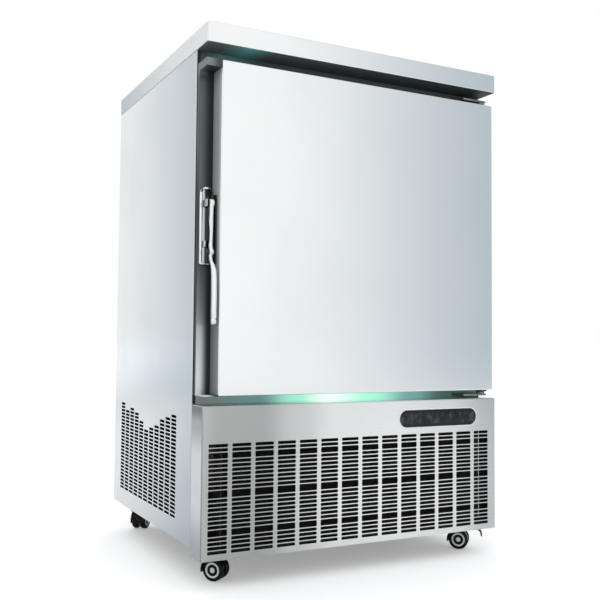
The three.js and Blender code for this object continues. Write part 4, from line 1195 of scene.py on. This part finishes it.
class CHILLER_OT_latch(bpy.types.Operator):
    """Chromed latch: arched base, swinging lever and spring tongue"""

    bl_idname = "chiller.latch"
    bl_label = "Latch"
    # The housing: width of its rim, height of its wall, depth of its lower lip, edge radius.
    rim = 0.0035
    plate = 0.0075
    lip = 0.016
    rounding = 0.0012
    grip_segments = 28
    # The lever's offsets from the pivot along X, Y and Z, and its radius there.
    stations = (
        (-0.0010, -0.0010, 0.0080, 0.0020), (-0.0010, -0.0010, 0.0072, 0.0046),
        (-0.0014, -0.0018, 0.0000, 0.0066), (-0.0020, -0.0020, -0.0140, 0.0064),
        (-0.0018, -0.0022, -0.0280, 0.0056), (-0.0008, -0.0026, -0.0450, 0.0043),
        (-0.0004, -0.0030, -0.0640, 0.0034), (-0.0010, -0.0030, -0.0850, 0.0034),
        (-0.0020, -0.0030, -0.0960, 0.0044), (-0.0022, -0.0030, -0.1030, 0.0060),
        (-0.0022, -0.0030, -0.1038, 0.0074), (-0.0022, -0.0030, -0.1060, 0.0079),
        (-0.0022, -0.0030, -0.1110, 0.0079), (-0.0022, -0.0030, -0.1132, 0.0072),
        (-0.0024, -0.0032, -0.1140, 0.0052), (-0.0028, -0.0040, -0.1200, 0.0042),
        (-0.0028, -0.0075, -0.1280, 0.0042), (-0.0018, -0.0140, -0.1370, 0.0050),
        (-0.0004, -0.0186, -0.1480, 0.0058), (0.0000, -0.0204, -0.1640, 0.0063),
        (0.0000, -0.0207, -0.2000, 0.0069), (0.0000, -0.0207, -0.2520, 0.0069),
        (0.0000, -0.0207, -0.2545, 0.0064), (0.0000, -0.0207, -0.2550, 0.0050),
        (0.0000, -0.0207, -0.2570, 0.0050), (0.0000, -0.0207, -0.2575, 0.0063),
        (0.0000, -0.0207, -0.2600, 0.0067), (0.0000, -0.0207, -0.2640, 0.0066),
        (0.0000, -0.0207, -0.2665, 0.0052), (0.0000, -0.0207, -0.2676, 0.0030),
    )

    def execute(self, context):
        low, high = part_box("latch_base")
        bm = bmesh.new()
        radius = (high.x - low.x) / 2
        middle = ((low.x + high.x) / 2, high.z - radius)
        outline = [(low.x, low.z), (high.x, low.z), *arc(middle, (radius, radius), 0, 180, 24)]
        face = bm.faces.new([bm.verts.new((x, high.y, z)) for x, z in outline])
        bm.normal_update()
        if face.normal.y > 0:
            face.normal_flip()
        shift_new(bm, bmesh.ops.extrude_face_region(bm, geom=[face]), -BACK * self.plate)
        closed(bm)
        bevel(bm, widest(bm, "-Y").edges, self.rounding)
        bm.normal_update()
        front = widest(bm, "-Y")
        inset(bm, front, self.rim)
        inset(bm, front, self.rounding, -self.rim)
        self.cheek(bm, low, high)
        self.pin(bm, high)
        bevel_box(
            bm, (low.x, high.y - self.lip, low.z), (LATCH_PIVOT.x, high.y, low.z + 0.0028), 0.001
        )
        closed(bm)
        bm.normal_update()
        # The hollow inside the rim takes painted shade.
        for face in bm.faces:
            if self.in_hollow(face.calc_center_median(), low, high):
                face.material_index = 1
        piece(
            bm, "latch_housing", "door", ["chrome", "smoked_chrome"], ["latch_base"],
            smooth=35,
        )
        self.lever()
        # The tongue takes the same painted shade.
        finished_copy("latch_tongue", "smoked_chrome", self.rounding, 3)
        finished_copy("latch_strike", "chrome", 0.0008)
        return {"FINISHED"}

    def pin(self, bm, high):
        """The lever's pin: its head lies past a post, and its other end in the cheek."""
        turn = LATCH_PIVOT
        head, end = -0.0105 - self.rim, high.x - sizes().edge - turn.x
        spun(
            bm,
            [(head, 0), (head, 0.0034), (head + 0.0012, 0.0046), (head + 0.0024, 0.0030),
             (end, 0.0030), (end, 0)],
            turn, RIGHT, UP, 24,
        )
        bevel_box(
            bm, (turn.x - 0.0135, turn.y - 0.0045, turn.z - 0.0085),
            (turn.x - 0.0095, high.y - 0.003, turn.z + 0.0085), 0.0014,
        )

    def in_hollow(self, middle, low, high):
        """True inside the housing's rim, the cheek included."""
        return (
            low.x + self.rim < middle.x < high.x - 0.001
            and low.z + self.rim < middle.z < high.z - self.rim
        )

    @staticmethod
    def cheek(bm, low, high):
        """The housing's right wall, which carries the pin: a concave rise from the plate."""
        head, foot = high.z - (high.x - low.x) / 2 - 0.004, low.z
        rise = [
            (high.x, high.y), (high.x, low.y + 0.002), (high.x - 0.002, low.y),
            (high.x - 0.0035, low.y + 0.0005),
        ]
        start, bend = rise[-1], (high.x - 0.006, high.y - 0.010)
        end = (low.x + 0.008, high.y - 0.004)
        steps = 10
        for i in range(1, steps + 1):
            t = i / steps
            rise.append(tuple(
                (1 - t) ** 2 * a + 2 * t * (1 - t) * b + t * t * c
                for a, b, c in zip(start, bend, end)
            ))
        rise.append((end[0], high.y))
        face = bm.faces.new([bm.verts.new((x, y, foot)) for x, y in rise])
        shift_new(bm, bmesh.ops.extrude_face_region(bm, geom=[face]), UP * (head - foot))

    def lever(self):
        """Cast lever: pin boss, waisted shank, collar, outward bend and ribbed grip with a knob."""
        bm = bmesh.new()
        stations = [(LATCH_PIVOT + Vector(offset), radius) for *offset, radius in self.stations]
        lofted(bm, stations, self.grip_segments)
        boss = [(-0.0084, 0.0), (-0.0084, 0.0066), (-0.0070, 0.0083), (0.0035, 0.0083),
                (0.0050, 0.0068), (0.0050, 0.0)]
        spun(bm, boss, LATCH_PIVOT, RIGHT, UP)
        piece(
            closed(bm), "latch_lever_arm", "lever", ["lever_chrome"], ["latch_lever"],
            smooth=40,
        )


class CHILLER_OT_hinges(bpy.types.Operator):
    """Hinge brackets with rounded edges, and screws on the top one"""

    bl_idname = "chiller.hinges"
    bl_label = "Hinges"

    def execute(self, context):
        s = sizes()
        for node in ("top_hinge_bracket", "bottom_hinge_bracket"):
            finished_copy(node, "hinge_steel", 0.001, 3, smooth=30)
        low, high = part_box("top_hinge_bracket")
        y = high.y - s.sheet * 2
        points = [
            (low.x + share * (high.x - low.x), y, high.z - 0.006) for share in (0.2, 0.5, 0.8)
        ]
        screw_heads("top_hinge_screws", points, -BACK, s.screw * 0.9)
        return {"FINISHED"}


# ---- Operators: base and castors -------------------------------------------------------------
class CHILLER_OT_base(bpy.types.Operator):
    """Base pan, frame and castors"""

    bl_idname = "chiller.base"
    bl_label = "Base and castors"
    # Degrees that each castor is turned about its swivel axis.
    swivels = {"front_left": 40, "front_right": 45, "rear_left": 140, "rear_right": -60}
    crown = 0.0045

    def execute(self, context):
        # Painted shade: the base pan and base frame are made near-black so that they show dark
        # through the louvres.
        finished_copy("base_pan", "dark_lining", 0.0005)
        finished_copy("base_frame", "dark_lining", 0.001)
        for corner in CORNERS:
            plate = f"{corner}_castor_plate"
            finished_copy(plate, "zinc", 0.0005, smooth=30)
            self.bolts(corner, plate)
            finished_copy(f"{corner}_castor_fork", "black_plastic", 0.0008, 2, 40)
            self.wheels(corner)
        finished_copy("brake_pedal", "black_plastic", 0.001, 3, smooth=40)
        return {"FINISHED"}

    @staticmethod
    def bolts(corner, plate):
        """Hexagon bolt heads, each on its washer."""
        low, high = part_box(plate)
        edge, face = 0.009, high.z - 0.003
        bm = bmesh.new()
        for x in (low.x + edge, high.x - edge):
            for y in (low.y + edge, high.y - edge):
                for radius, depth, segments in ((0.0056, 0.0044, 6), (0.0068, 0.001, 18)):
                    place = Matrix.Translation((x, y, face - depth / 2))
                    cylinder(bm, radius, depth, segments, place)
        bevel(bm, [e for e in bm.edges if e.calc_face_angle(0) > 0.6], 0.0003, 1)
        piece(closed(bm), f"{corner}_castor_bolts", "cabinet", ["zinc"], smooth=30)

    def wheels(self, corner):
        """Two tyres with a pale ring and a small cap on each outer face."""
        s = sizes()
        node = f"{corner}_castor_wheels"
        low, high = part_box(node)
        axle = Matrix.Rotation(math.radians(self.swivels[corner]), 4, "Z") @ RIGHT
        radius, inner, outer = s.wheel_radius, s.wheel_start, s.wheel_end
        crowns, level = (self.crown, self.crown), radius - self.crown
        tread = [
            (inner, 0.004), (inner, radius - 0.006),
            *arc((inner + self.crown, level), crowns, 180, 90, 5),
            *arc((outer - self.crown, level), crowns, 90, 0, 5),
            (outer, radius - 0.0065), (outer - 0.0012, radius - 0.0075), (outer - 0.0012, 0.004),
        ]
        ring = [(outer - 0.0014, 0.0126), (outer - 0.0004, 0.0132), (outer - 0.0001, 0.0150),
                (outer - 0.0004, 0.0168), (outer - 0.0014, 0.0174)]
        cap = [(outer - 0.0014, 0.0062), (outer - 0.0004, 0.0056), (outer - 0.0001, 0.0030),
               (outer, 0.0)]
        bm = bmesh.new()
        for side in (-1, 1):
            for index, outline in ((0, tread), (1, ring), (1, cap)):
                before = set(bm.faces)
                spun(bm, outline, (low + high) / 2, axle * side, UP, 48)
                for face in set(bm.faces) - before:
                    face.material_index = index
        piece(
            closed(bm), f"{corner}_castor_tyres", body_of(node), ["tyre", "wheel_ring"],
            [node], smooth=40,
        )


# ---- Operators: chamber and machine compartment ----------------------------------------------
def fan_wheel(node, blades, depth_share):
    """A pitched, twisted fan wheel on its hub, turning about the Y axis."""
    hub = sizes().fan_hub
    low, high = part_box(node)
    middle, half = (low + high) / 2, (high.y - low.y) / 2
    root, tip = hub * 0.9, min(high.x - low.x, high.z - low.z) / 2 - 0.001
    depth = 2 * half * depth_share
    bm = bmesh.new()
    for blade in range(blades):
        start = math.tau * blade / blades
        grid = bmesh.ops.create_grid(bm, x_segments=8, y_segments=6, size=0.5)
        for vert in grid["verts"]:
            across, out = vert.co.x, vert.co.y + 0.5
            radius = root + (tip - root) * out
            spread = math.radians(26 + 16 * math.sin(out * math.pi * 0.8))
            angle = start + across * 2 * spread + out * 0.25
            camber = across * 0.9 + 0.12 * math.cos(across * math.pi) - 0.08
            lift = depth * camber * (1 - 0.3 * out)
            vert.co = middle + Vector((radius * math.cos(angle), lift, radius * math.sin(angle)))
    bmesh.ops.solidify(bm, geom=bm.faces[:], thickness=0.0014)
    spun(
        bm,
        [(-half, 0.0), (-half, hub * 0.72), (-half * 0.86, hub * 0.92), (-half * 0.5, hub),
         (half * 0.9, hub), (half * 0.9, hub * 0.55), (half * 0.5, 0.0)],
        middle, BACK, UP, 36,
    )
    piece(
        closed(bm), f"{node}_wheel", body_of(node), ["black_plastic"], [node],
        smooth=35,
    )


def wire_ring(bm, middle, radius, wire):
    """One ring of round wire in the plane of the door."""
    verts, edges = circle(bm, wire, 8, Matrix.Translation(middle + RIGHT * radius))
    spin(bm, verts + edges, middle, BACK, 56)


def rod(bm, start, end, radius, segments=10):
    """A round bar between two points."""
    start, end = Vector(start), Vector(end)
    along = end - start
    turn = along.to_track_quat("Z", "Y").to_matrix().to_4x4()
    cylinder(bm, radius, along.length, segments, Matrix.Translation((start + end) / 2) @ turn)


def fin_pack(node, name, finish_name, tube_finish, tube_rows, tube_columns=2):
    """Thin fins between two end plates, with tubes and their return bends."""
    s = sizes()
    low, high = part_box(node)
    plate, gap = 2 * s.sheet, Vector((0, s.sheet, s.sheet))
    bm = bmesh.new()
    count = int((high.x - low.x - 2 * plate) / s.fin_pitch)
    start = (low.x + high.x) / 2 - s.fin_pitch * (count - 1) / 2
    upright = [(start + index * s.fin_pitch, s.fin, gap) for index in range(count)]
    upright += [(low.x, plate, Vector()), (high.x - plate, plate, Vector())]
    for x, thickness, margin in upright:
        foot, head = low + margin, high - margin
        box(bm, (x, foot.y, foot.z), (x + thickness, head.y, head.z))
    piece(closed(bm), name, "cabinet", [finish_name], [node])
    bm = bmesh.new()
    step_z = (high.z - low.z) / tube_rows
    step_y = (high.y - low.y) / tube_columns
    left, right = low.x - 0.002, high.x + 0.002
    upended = Matrix.Rotation(math.pi / 2, 4, "Y")
    for row in range(tube_rows):
        for column in range(tube_columns):
            y = low.y + step_y * (column + 0.5)
            z = low.z + step_z * (row + 0.5)
            rod(bm, (left, y, z), (right, y, z), s.coil_tube, 8)
            if row % 2 == 0 and row + 1 < tube_rows:
                for side, x in ((-1, left), (1, right)):
                    place = Matrix.Translation((x, y, z)) @ upended
                    verts, edges = circle(bm, s.coil_tube, 8, place)
                    bend = (x, y, z + step_z / 2)
                    spin(bm, verts + edges, bend, (0, side, 0), 10, math.pi)
    piece(closed(bm), name + "_tubes", "cabinet", [tube_finish], smooth=40)


class CHILLER_OT_chamber(bpy.types.Operator):
    """Coved liner, evaporator cover, fans with guards, racks, drip tray and coil"""

    bl_idname = "chiller.chamber"
    bl_label = "Chamber"

    def execute(self, context):
        s = sizes()
        low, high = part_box("inner_liner")
        bm = folded_box(low, high, ("-Y",), s.cove, 6)
        piece(
            bm, "chamber_liner", "cabinet", ["inner_steel"], ["inner_liner"],
            wall=s.sheet,
        )
        self.cover(s)
        for node in ("drip_tray", "left_tray_rack", "right_tray_rack"):
            finished_copy(node, "inner_steel", 0.0004)
        finished_copy("front_frame", "frame_steel", 0.0008)
        fin_pack("evaporator_coil", "evaporator_fins", "evaporator_fins", "copper", 16)
        for level in ("lower", "upper"):
            fan_wheel(f"{level}_fan", 5, 0.9)
            finished_copy(f"{level}_fan_motor", "enamel", smooth=30)
        return {"FINISHED"}

    def cover(self, s):
        """The sheet before the evaporator, open at its two fans, with their guards and screws."""
        low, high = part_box("evaporator_cover")
        fans = [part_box(f"{level}_fan") for level in ("lower", "upper")]
        radius = (fans[0][1].x - fans[0][0].x) / 2 + 0.004
        middles = [Vector(((a.x + b.x) / 2, low.y, (a.z + b.z) / 2)) for a, b in fans]
        bm = folded_box(low, high, ("+Y", "+X", "-X", "+Z", "-Z"), s.fold)
        opening = (2 * radius, 2 * radius, radius, 0.003, 16)
        punch(bm, widest(bm, "-Y"), face_place("-Y"), [(opening, middles)])
        piece(
            bm, "evaporator_front", "cabinet", ["inner_steel"],
            ["evaporator_cover"], wall=s.sheet,
        )
        for level, middle in zip(("lower", "upper"), middles):
            bm = bmesh.new()
            plane = middle - BACK * 0.004
            for share in (0.16, 0.33, 0.50, 0.67, 0.84, 1.0):
                wire_ring(bm, plane, radius * share + 0.004, s.guard_wire)
            for spoke in range(s.spokes):
                angle = math.tau * spoke / s.spokes + 0.26
                way = Vector((math.cos(angle), 0, math.sin(angle)))
                seat = plane + BACK * 0.0022
                rod(
                    bm, seat + way * radius * 0.2, seat + way * (radius + 0.012),
                    s.guard_wire * 1.2,
                )
            piece(
                closed(bm), f"{level}_fan_guard", "cabinet", ["chrome"], smooth=40
            )
        screw_heads("evaporator_screws", edge_points(low, high, low.y, 0.016), -BACK, s.screw)


class CHILLER_OT_machine(bpy.types.Operator):
    """Condenser, compressor, receiver, pipe, control box and ceiling of the machine compartment"""

    bl_idname = "chiller.machine"
    bl_label = "Machine compartment"
    can_radius = 0.082

    def execute(self, context):
        # The condenser's fins and tubes take the near-black fins colour: dark coating and painted
        # shade behind the louvres.
        fin_pack("condenser_coil", "condenser_fins", "fins", "fins", 10)
        # The shroud takes the dark lining as painted shade where it shows through the louvres.
        finished_copy("condenser_shroud", "dark_lining", 0.0004, smooth=30)
        fan_wheel("condenser_fan", 4, 0.85)
        finished_copy("condenser_fan_motor", "enamel", smooth=30)
        finished_copy("machine_ceiling", "zinc", 0.0004)
        finished_copy("control_box", "grey_plastic", 0.002, 3)
        self.compressor()
        self.receiver()
        finished_copy("refrigerant_pipe", "copper", 0.0, smooth=60)
        return {"FINISHED"}

    def compressor(self):
        """A domed can with its weld bead, on a plate with feet, and its terminal cover."""
        low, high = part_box("compressor")
        middle = Vector(((low.x + high.x) / 2, (low.y + high.y) / 2, low.z))
        base, bend, bead, dome = 0.010, 0.016, 0.100, 0.150
        radius, bead_radius = self.can_radius, self.can_radius + 0.0035
        shell = [
            (base, 0.0),
            *arc((base + bend, radius * 0.72), (bend, radius * 0.28), 180, 90, 6),
            (bead, radius), (bead + 0.0005, bead_radius), (bead + 0.008, bead_radius),
            (bead + 0.0085, radius),
            *arc((dome, 0), (high.z - low.z - dome, radius), 90, 0, 12),
        ]
        bm = bmesh.new()
        spun(bm, shell, middle, UP, RIGHT, 56)
        bevel_box(bm, (low.x, low.y, low.z + 0.007), (high.x, high.y, low.z + 0.012), 0.0015)
        foot = [(0.0, 0.0), (0.0, 0.011), (0.003, 0.012), (0.006, 0.009), (0.0075, 0.009),
                (0.0075, 0.0)]
        edge = 0.014
        for x in (low.x + edge, high.x - edge):
            for y in (low.y + edge, high.y - edge):
                spun(bm, foot, Vector((x, y, low.z)), UP, RIGHT, 20)
        piece(
            closed(bm), "compressor_shell", "cabinet", ["enamel"], ["compressor"],
            smooth=32,
        )
        bm = bmesh.new()
        face = middle - BACK * (radius - 0.004)
        bevel_box(
            bm, face + Vector((-0.028, -0.026, 0.040)), face + Vector((0.028, 0.012, 0.096)),
            0.004, 4,
        )
        piece(
            closed(bm), "compressor_terminal_cover", "cabinet", ["black_plastic"]
        )

    @staticmethod
    def receiver():
        """An upright receiver with a domed head and foot."""
        low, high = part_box("liquid_receiver")
        middle = Vector(((low.x + high.x) / 2, (low.y + high.y) / 2, low.z))
        tall, dome = high.z - low.z, 0.018
        radii = (dome, (high.x - low.x) / 2)
        outline = arc((dome, 0), radii, 180, 90, 8) + arc((tall - dome, 0), radii, 90, 0, 8)
        bm = bmesh.new()
        spun(bm, outline, middle, UP, RIGHT, 48)
        piece(
            closed(bm), "receiver_shell", "cabinet", ["enamel"], ["liquid_receiver"],
            smooth=40,
        )


class CHILLER_OT_back(bpy.types.Operator):
    """Back panel, slotted service cover, cable gland and screws"""

    bl_idname = "chiller.back"
    bl_label = "Back"
    # Depth and width of one pleat of the filter, and the height of its upper edge.
    pleat = 0.010
    filter_top = 0.390

    def execute(self, context):
        finished_copy("back_panel", "zinc", 0.0005)
        finished_copy("rear_service_cover", "zinc", 0.0004)
        finished_copy("mains_gland", "black_plastic", 0.001, 3, smooth=30)
        self.filter_mat()
        edge = 0.018
        points = []
        for node in ("back_panel", "rear_service_cover"):
            low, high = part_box(node)
            points += edge_points(low, high, high.y, edge)
        low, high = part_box("back_panel")
        points += [
            (x, high.y, (low.z + high.z) / 2) for x in (low.x + edge, high.x - edge)
        ]
        screw_heads("back_screws", points, BACK, sizes().screw)
        return {"FINISHED"}

    def filter_mat(self):
        """A pleated dust filter behind the service cover's slots."""
        low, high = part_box("rear_service_cover")
        start, half = low.x + self.pleat, self.pleat / 2
        ridges = (low.y - 0.002, low.y - 0.002 - self.pleat)
        count = int((high.x - low.x - 2 * self.pleat) / half)
        bm = bmesh.new()
        verts = [bm.verts.new((start + i * half, ridges[i % 2], low.z)) for i in range(count + 1)]
        edges = [bm.edges.new(pair) for pair in zip(verts, verts[1:])]
        raised = bmesh.ops.extrude_edge_only(bm, edges=edges)
        shift_new(bm, raised, UP * (self.filter_top - low.z))
        # The filter takes the dark lining as painted shade behind the service cover's slots.
        piece(
            bm, "rear_filter_mat", "cabinet", ["dark_lining"],
            wall=sizes().sheet / 2,
        )


class CHILLER_OT_inner_parts(bpy.types.Operator):
    """Finishes of the pieces that stay as the frame made them"""

    bl_idname = "chiller.inner_parts"
    bl_label = "Foam and core"
    kept = {"worktop_core": "board", "insulation": "foam", "door_foam": "foam"}

    def execute(self, context):
        for node, finish_name in self.kept.items():
            mesh = frame["nodes"][node].data
            mesh.materials.clear()
            mesh.materials.append(finish(finish_name))
        return {"FINISHED"}


# ---- Stage -----------------------------------------------------------------------------------
def rays(tree):
    """1 where a camera or a transmission ray looks."""
    path = "ShaderNodeLightPath"
    return tree.add(path, output="Is Camera Ray") + tree.add(path, output="Is Transmission Ray")


def studio_walls(tree, way):
    """What bright metal mirrors: pale walls with grey flags between them, and a pale ceiling."""
    ahead = 0 - tree.axis("Y", way)
    turn = tree.add("ShaderNodeMath", {"operation": "ARCTAN2"}, {0: tree.axis("X", way), 1: ahead})
    walls = tree.ramp(
        turn / math.tau + 0.5, [(heading / 360 + 0.5, tone) for heading, tone in STUDIO]
    )
    high = tree.span(tree.axis("Z", way), 0.55, 0.9)
    return tree.blend(high, walls, (0.88, 0.89, 0.90))


class CHILLER_OT_stage(bpy.types.Operator):
    """Pale floor, soft light, white surroundings and the camera"""

    bl_idname = "chiller.stage"
    bl_label = "Stage"
    floor_half = 60
    floor_drop = 0.0005
    # The grey flag on the floor left of the object: its slant and the soft edges of it.
    flag_slant = 2.6
    flag_right = (-0.46, -0.36)
    flag_back = (-0.25, 0.85)
    # Where the floor turns into the mirrored walls, in metres from the object.
    far_floor = (5.0, 8.0)
    lamp_width = 2.4
    lamp_aim = Vector((0, 0, 0.6))

    def execute(self, context):
        stage = bpy.context.scene.chiller_stage
        self.camera(stage)
        self.world()
        self.floor()
        self.lamp("key_lamp", stage.key, (-2.2, -2.6, 3.0))
        self.lamp("fill_lamp", stage.fill, (2.6, -2.2, 2.2))
        self.lamp("back_lamp", stage.fill, (-1.2, 3.2, 2.6))
        bpy.context.scene.view_settings.view_transform = "Standard"
        return {"FINISHED"}

    @staticmethod
    def camera(stage):
        """The camera at the photograph's place and angle."""
        data = bpy.data.cameras.new("photo_camera")
        data.lens = stage.lens
        data.sensor_width = stage.sensor
        camera = linked("photo_camera", data)
        heading, pitch, roll = (math.radians(a) for a in (stage.heading, stage.pitch, stage.roll))
        turn = Matrix.Rotation(-heading, 4, "Z") @ Matrix.Rotation(math.pi / 2 + pitch, 4, "X")
        turn = turn @ Matrix.Rotation(roll, 4, "Z")
        camera.matrix_world = Matrix.Translation(Vector(stage.camera)) @ turn
        bpy.context.scene.camera = camera

    def world(self):
        """White to the camera, and the studio's walls to everything else."""
        world = bpy.data.worlds.new("studio")
        bpy.context.scene.world = world
        world.use_nodes = True
        tree = Tree(world.node_tree)
        way = tree.add("ShaderNodeTexCoord", output="Generated")
        light = tree.blend(rays(tree), studio_walls(tree, way), WALL)
        background = tree.add("ShaderNodeBackground", None, {"Color": light, "Strength": 1.0})
        tree.add("ShaderNodeOutputWorld", None, {"Surface": background})

    def floor(self):
        """Pale to the camera; to metal, grey beside the left foot and the studio's walls far off."""
        bm = bmesh.new()
        bmesh.ops.create_grid(bm, x_segments=1, y_segments=1, size=self.floor_half)
        bmesh.ops.translate(bm, vec=-UP * self.floor_drop, verts=bm.verts[:])
        floor = linked("floor", mesh_of(bm, "floor"))
        material = bpy.data.materials.new("floor")
        material.use_nodes = True
        tree = Tree(material.node_tree)
        pale = paint("floor")
        place = tree.place()
        x, y = tree.axis("X", place), tree.axis("Y", place)
        seen = rays(tree)
        tint = tree.blend(tree.noise(30, 3), pale, shade(pale, 0.98))
        left = 1 - tree.span(x, *self.flag_right)
        front = 1 - tree.span(y + (x + 0.5) * self.flag_slant, *self.flag_back)
        near = tree.blend(front * left, pale, GREY)
        reach = tree.add("ShaderNodeVectorMath", {"operation": "LENGTH"}, {0: place}, output=1)
        distant = tree.span(reach, *self.far_floor)
        walls = studio_walls(tree, place)
        side = tree.blend(tree.span(x, -1, 1), grey(0.36), grey(0.16))
        glow = tree.blend(distant, grey(0), tree.times(walls, side))
        principled(tree, {
            "Base Color": tree.blend(seen, tree.blend(distant, near, walls), tint),
            "Roughness": 0.9,
            "Specular IOR Level": 0.0,
            "Emission Color": tree.blend(seen, glow, grey(0.30)),
            "Emission Strength": 1.0,
        })
        floor.data.materials.append(material)

    def lamp(self, name, power, place):
        """A wide area lamp that looks at the object's middle."""
        data = bpy.data.lights.new(name, "AREA")
        data.energy = power
        data.size = self.lamp_width
        lamp = linked(name, data)
        lamp.location = place
        aim = self.lamp_aim - Vector(place)
        lamp.rotation_mode = "QUATERNION"
        lamp.rotation_quaternion = aim.to_track_quat("-Z", "Y")
        lamp.visible_camera = False
        lamp.visible_glossy = False


class CHILLER_PT_sidebar(bpy.types.Panel):
    """Settings and steps in the 3D view's sidebar"""

    bl_idname = "CHILLER_PT_sidebar"
    bl_label = "Blast chiller"
    bl_space_type = "VIEW_3D"
    bl_region_type = "UI"
    bl_category = "Chiller"

    def draw(self, context):
        for step in STEPS:
            self.layout.operator(step.bl_idname)
        for group in ("chiller_sizes", "chiller_colours", "chiller_stage"):
            settings = getattr(context.scene, group)
            for name in settings.__annotations__:
                self.layout.prop(settings, name)


GROUPS = (ChillerSizes, ChillerColours, ChillerStage)
STEPS = (
    CHILLER_OT_stage, CHILLER_OT_worktop, CHILLER_OT_side_panels, CHILLER_OT_lower_panel,
    CHILLER_OT_display, CHILLER_OT_door, CHILLER_OT_latch, CHILLER_OT_hinges, CHILLER_OT_base,
    CHILLER_OT_chamber, CHILLER_OT_machine, CHILLER_OT_back, CHILLER_OT_inner_parts,
)


def register():
    for made in (*GROUPS, *STEPS, CHILLER_PT_sidebar):
        bpy.utils.register_class(made)
    bpy.types.Scene.chiller_sizes = PointerProperty(type=ChillerSizes)
    bpy.types.Scene.chiller_colours = PointerProperty(type=ChillerColours)
    bpy.types.Scene.chiller_stage = PointerProperty(type=ChillerStage)


def unregister():
    del bpy.types.Scene.chiller_stage
    del bpy.types.Scene.chiller_colours
    del bpy.types.Scene.chiller_sizes
    for made in reversed((*GROUPS, *STEPS, CHILLER_PT_sidebar)):
        bpy.utils.unregister_class(made)


def main():
    register()
    for step in STEPS:
        group, name = step.bl_idname.split(".")
        getattr(getattr(bpy.ops, group), name)()


if __name__ == "__main__":
    main()
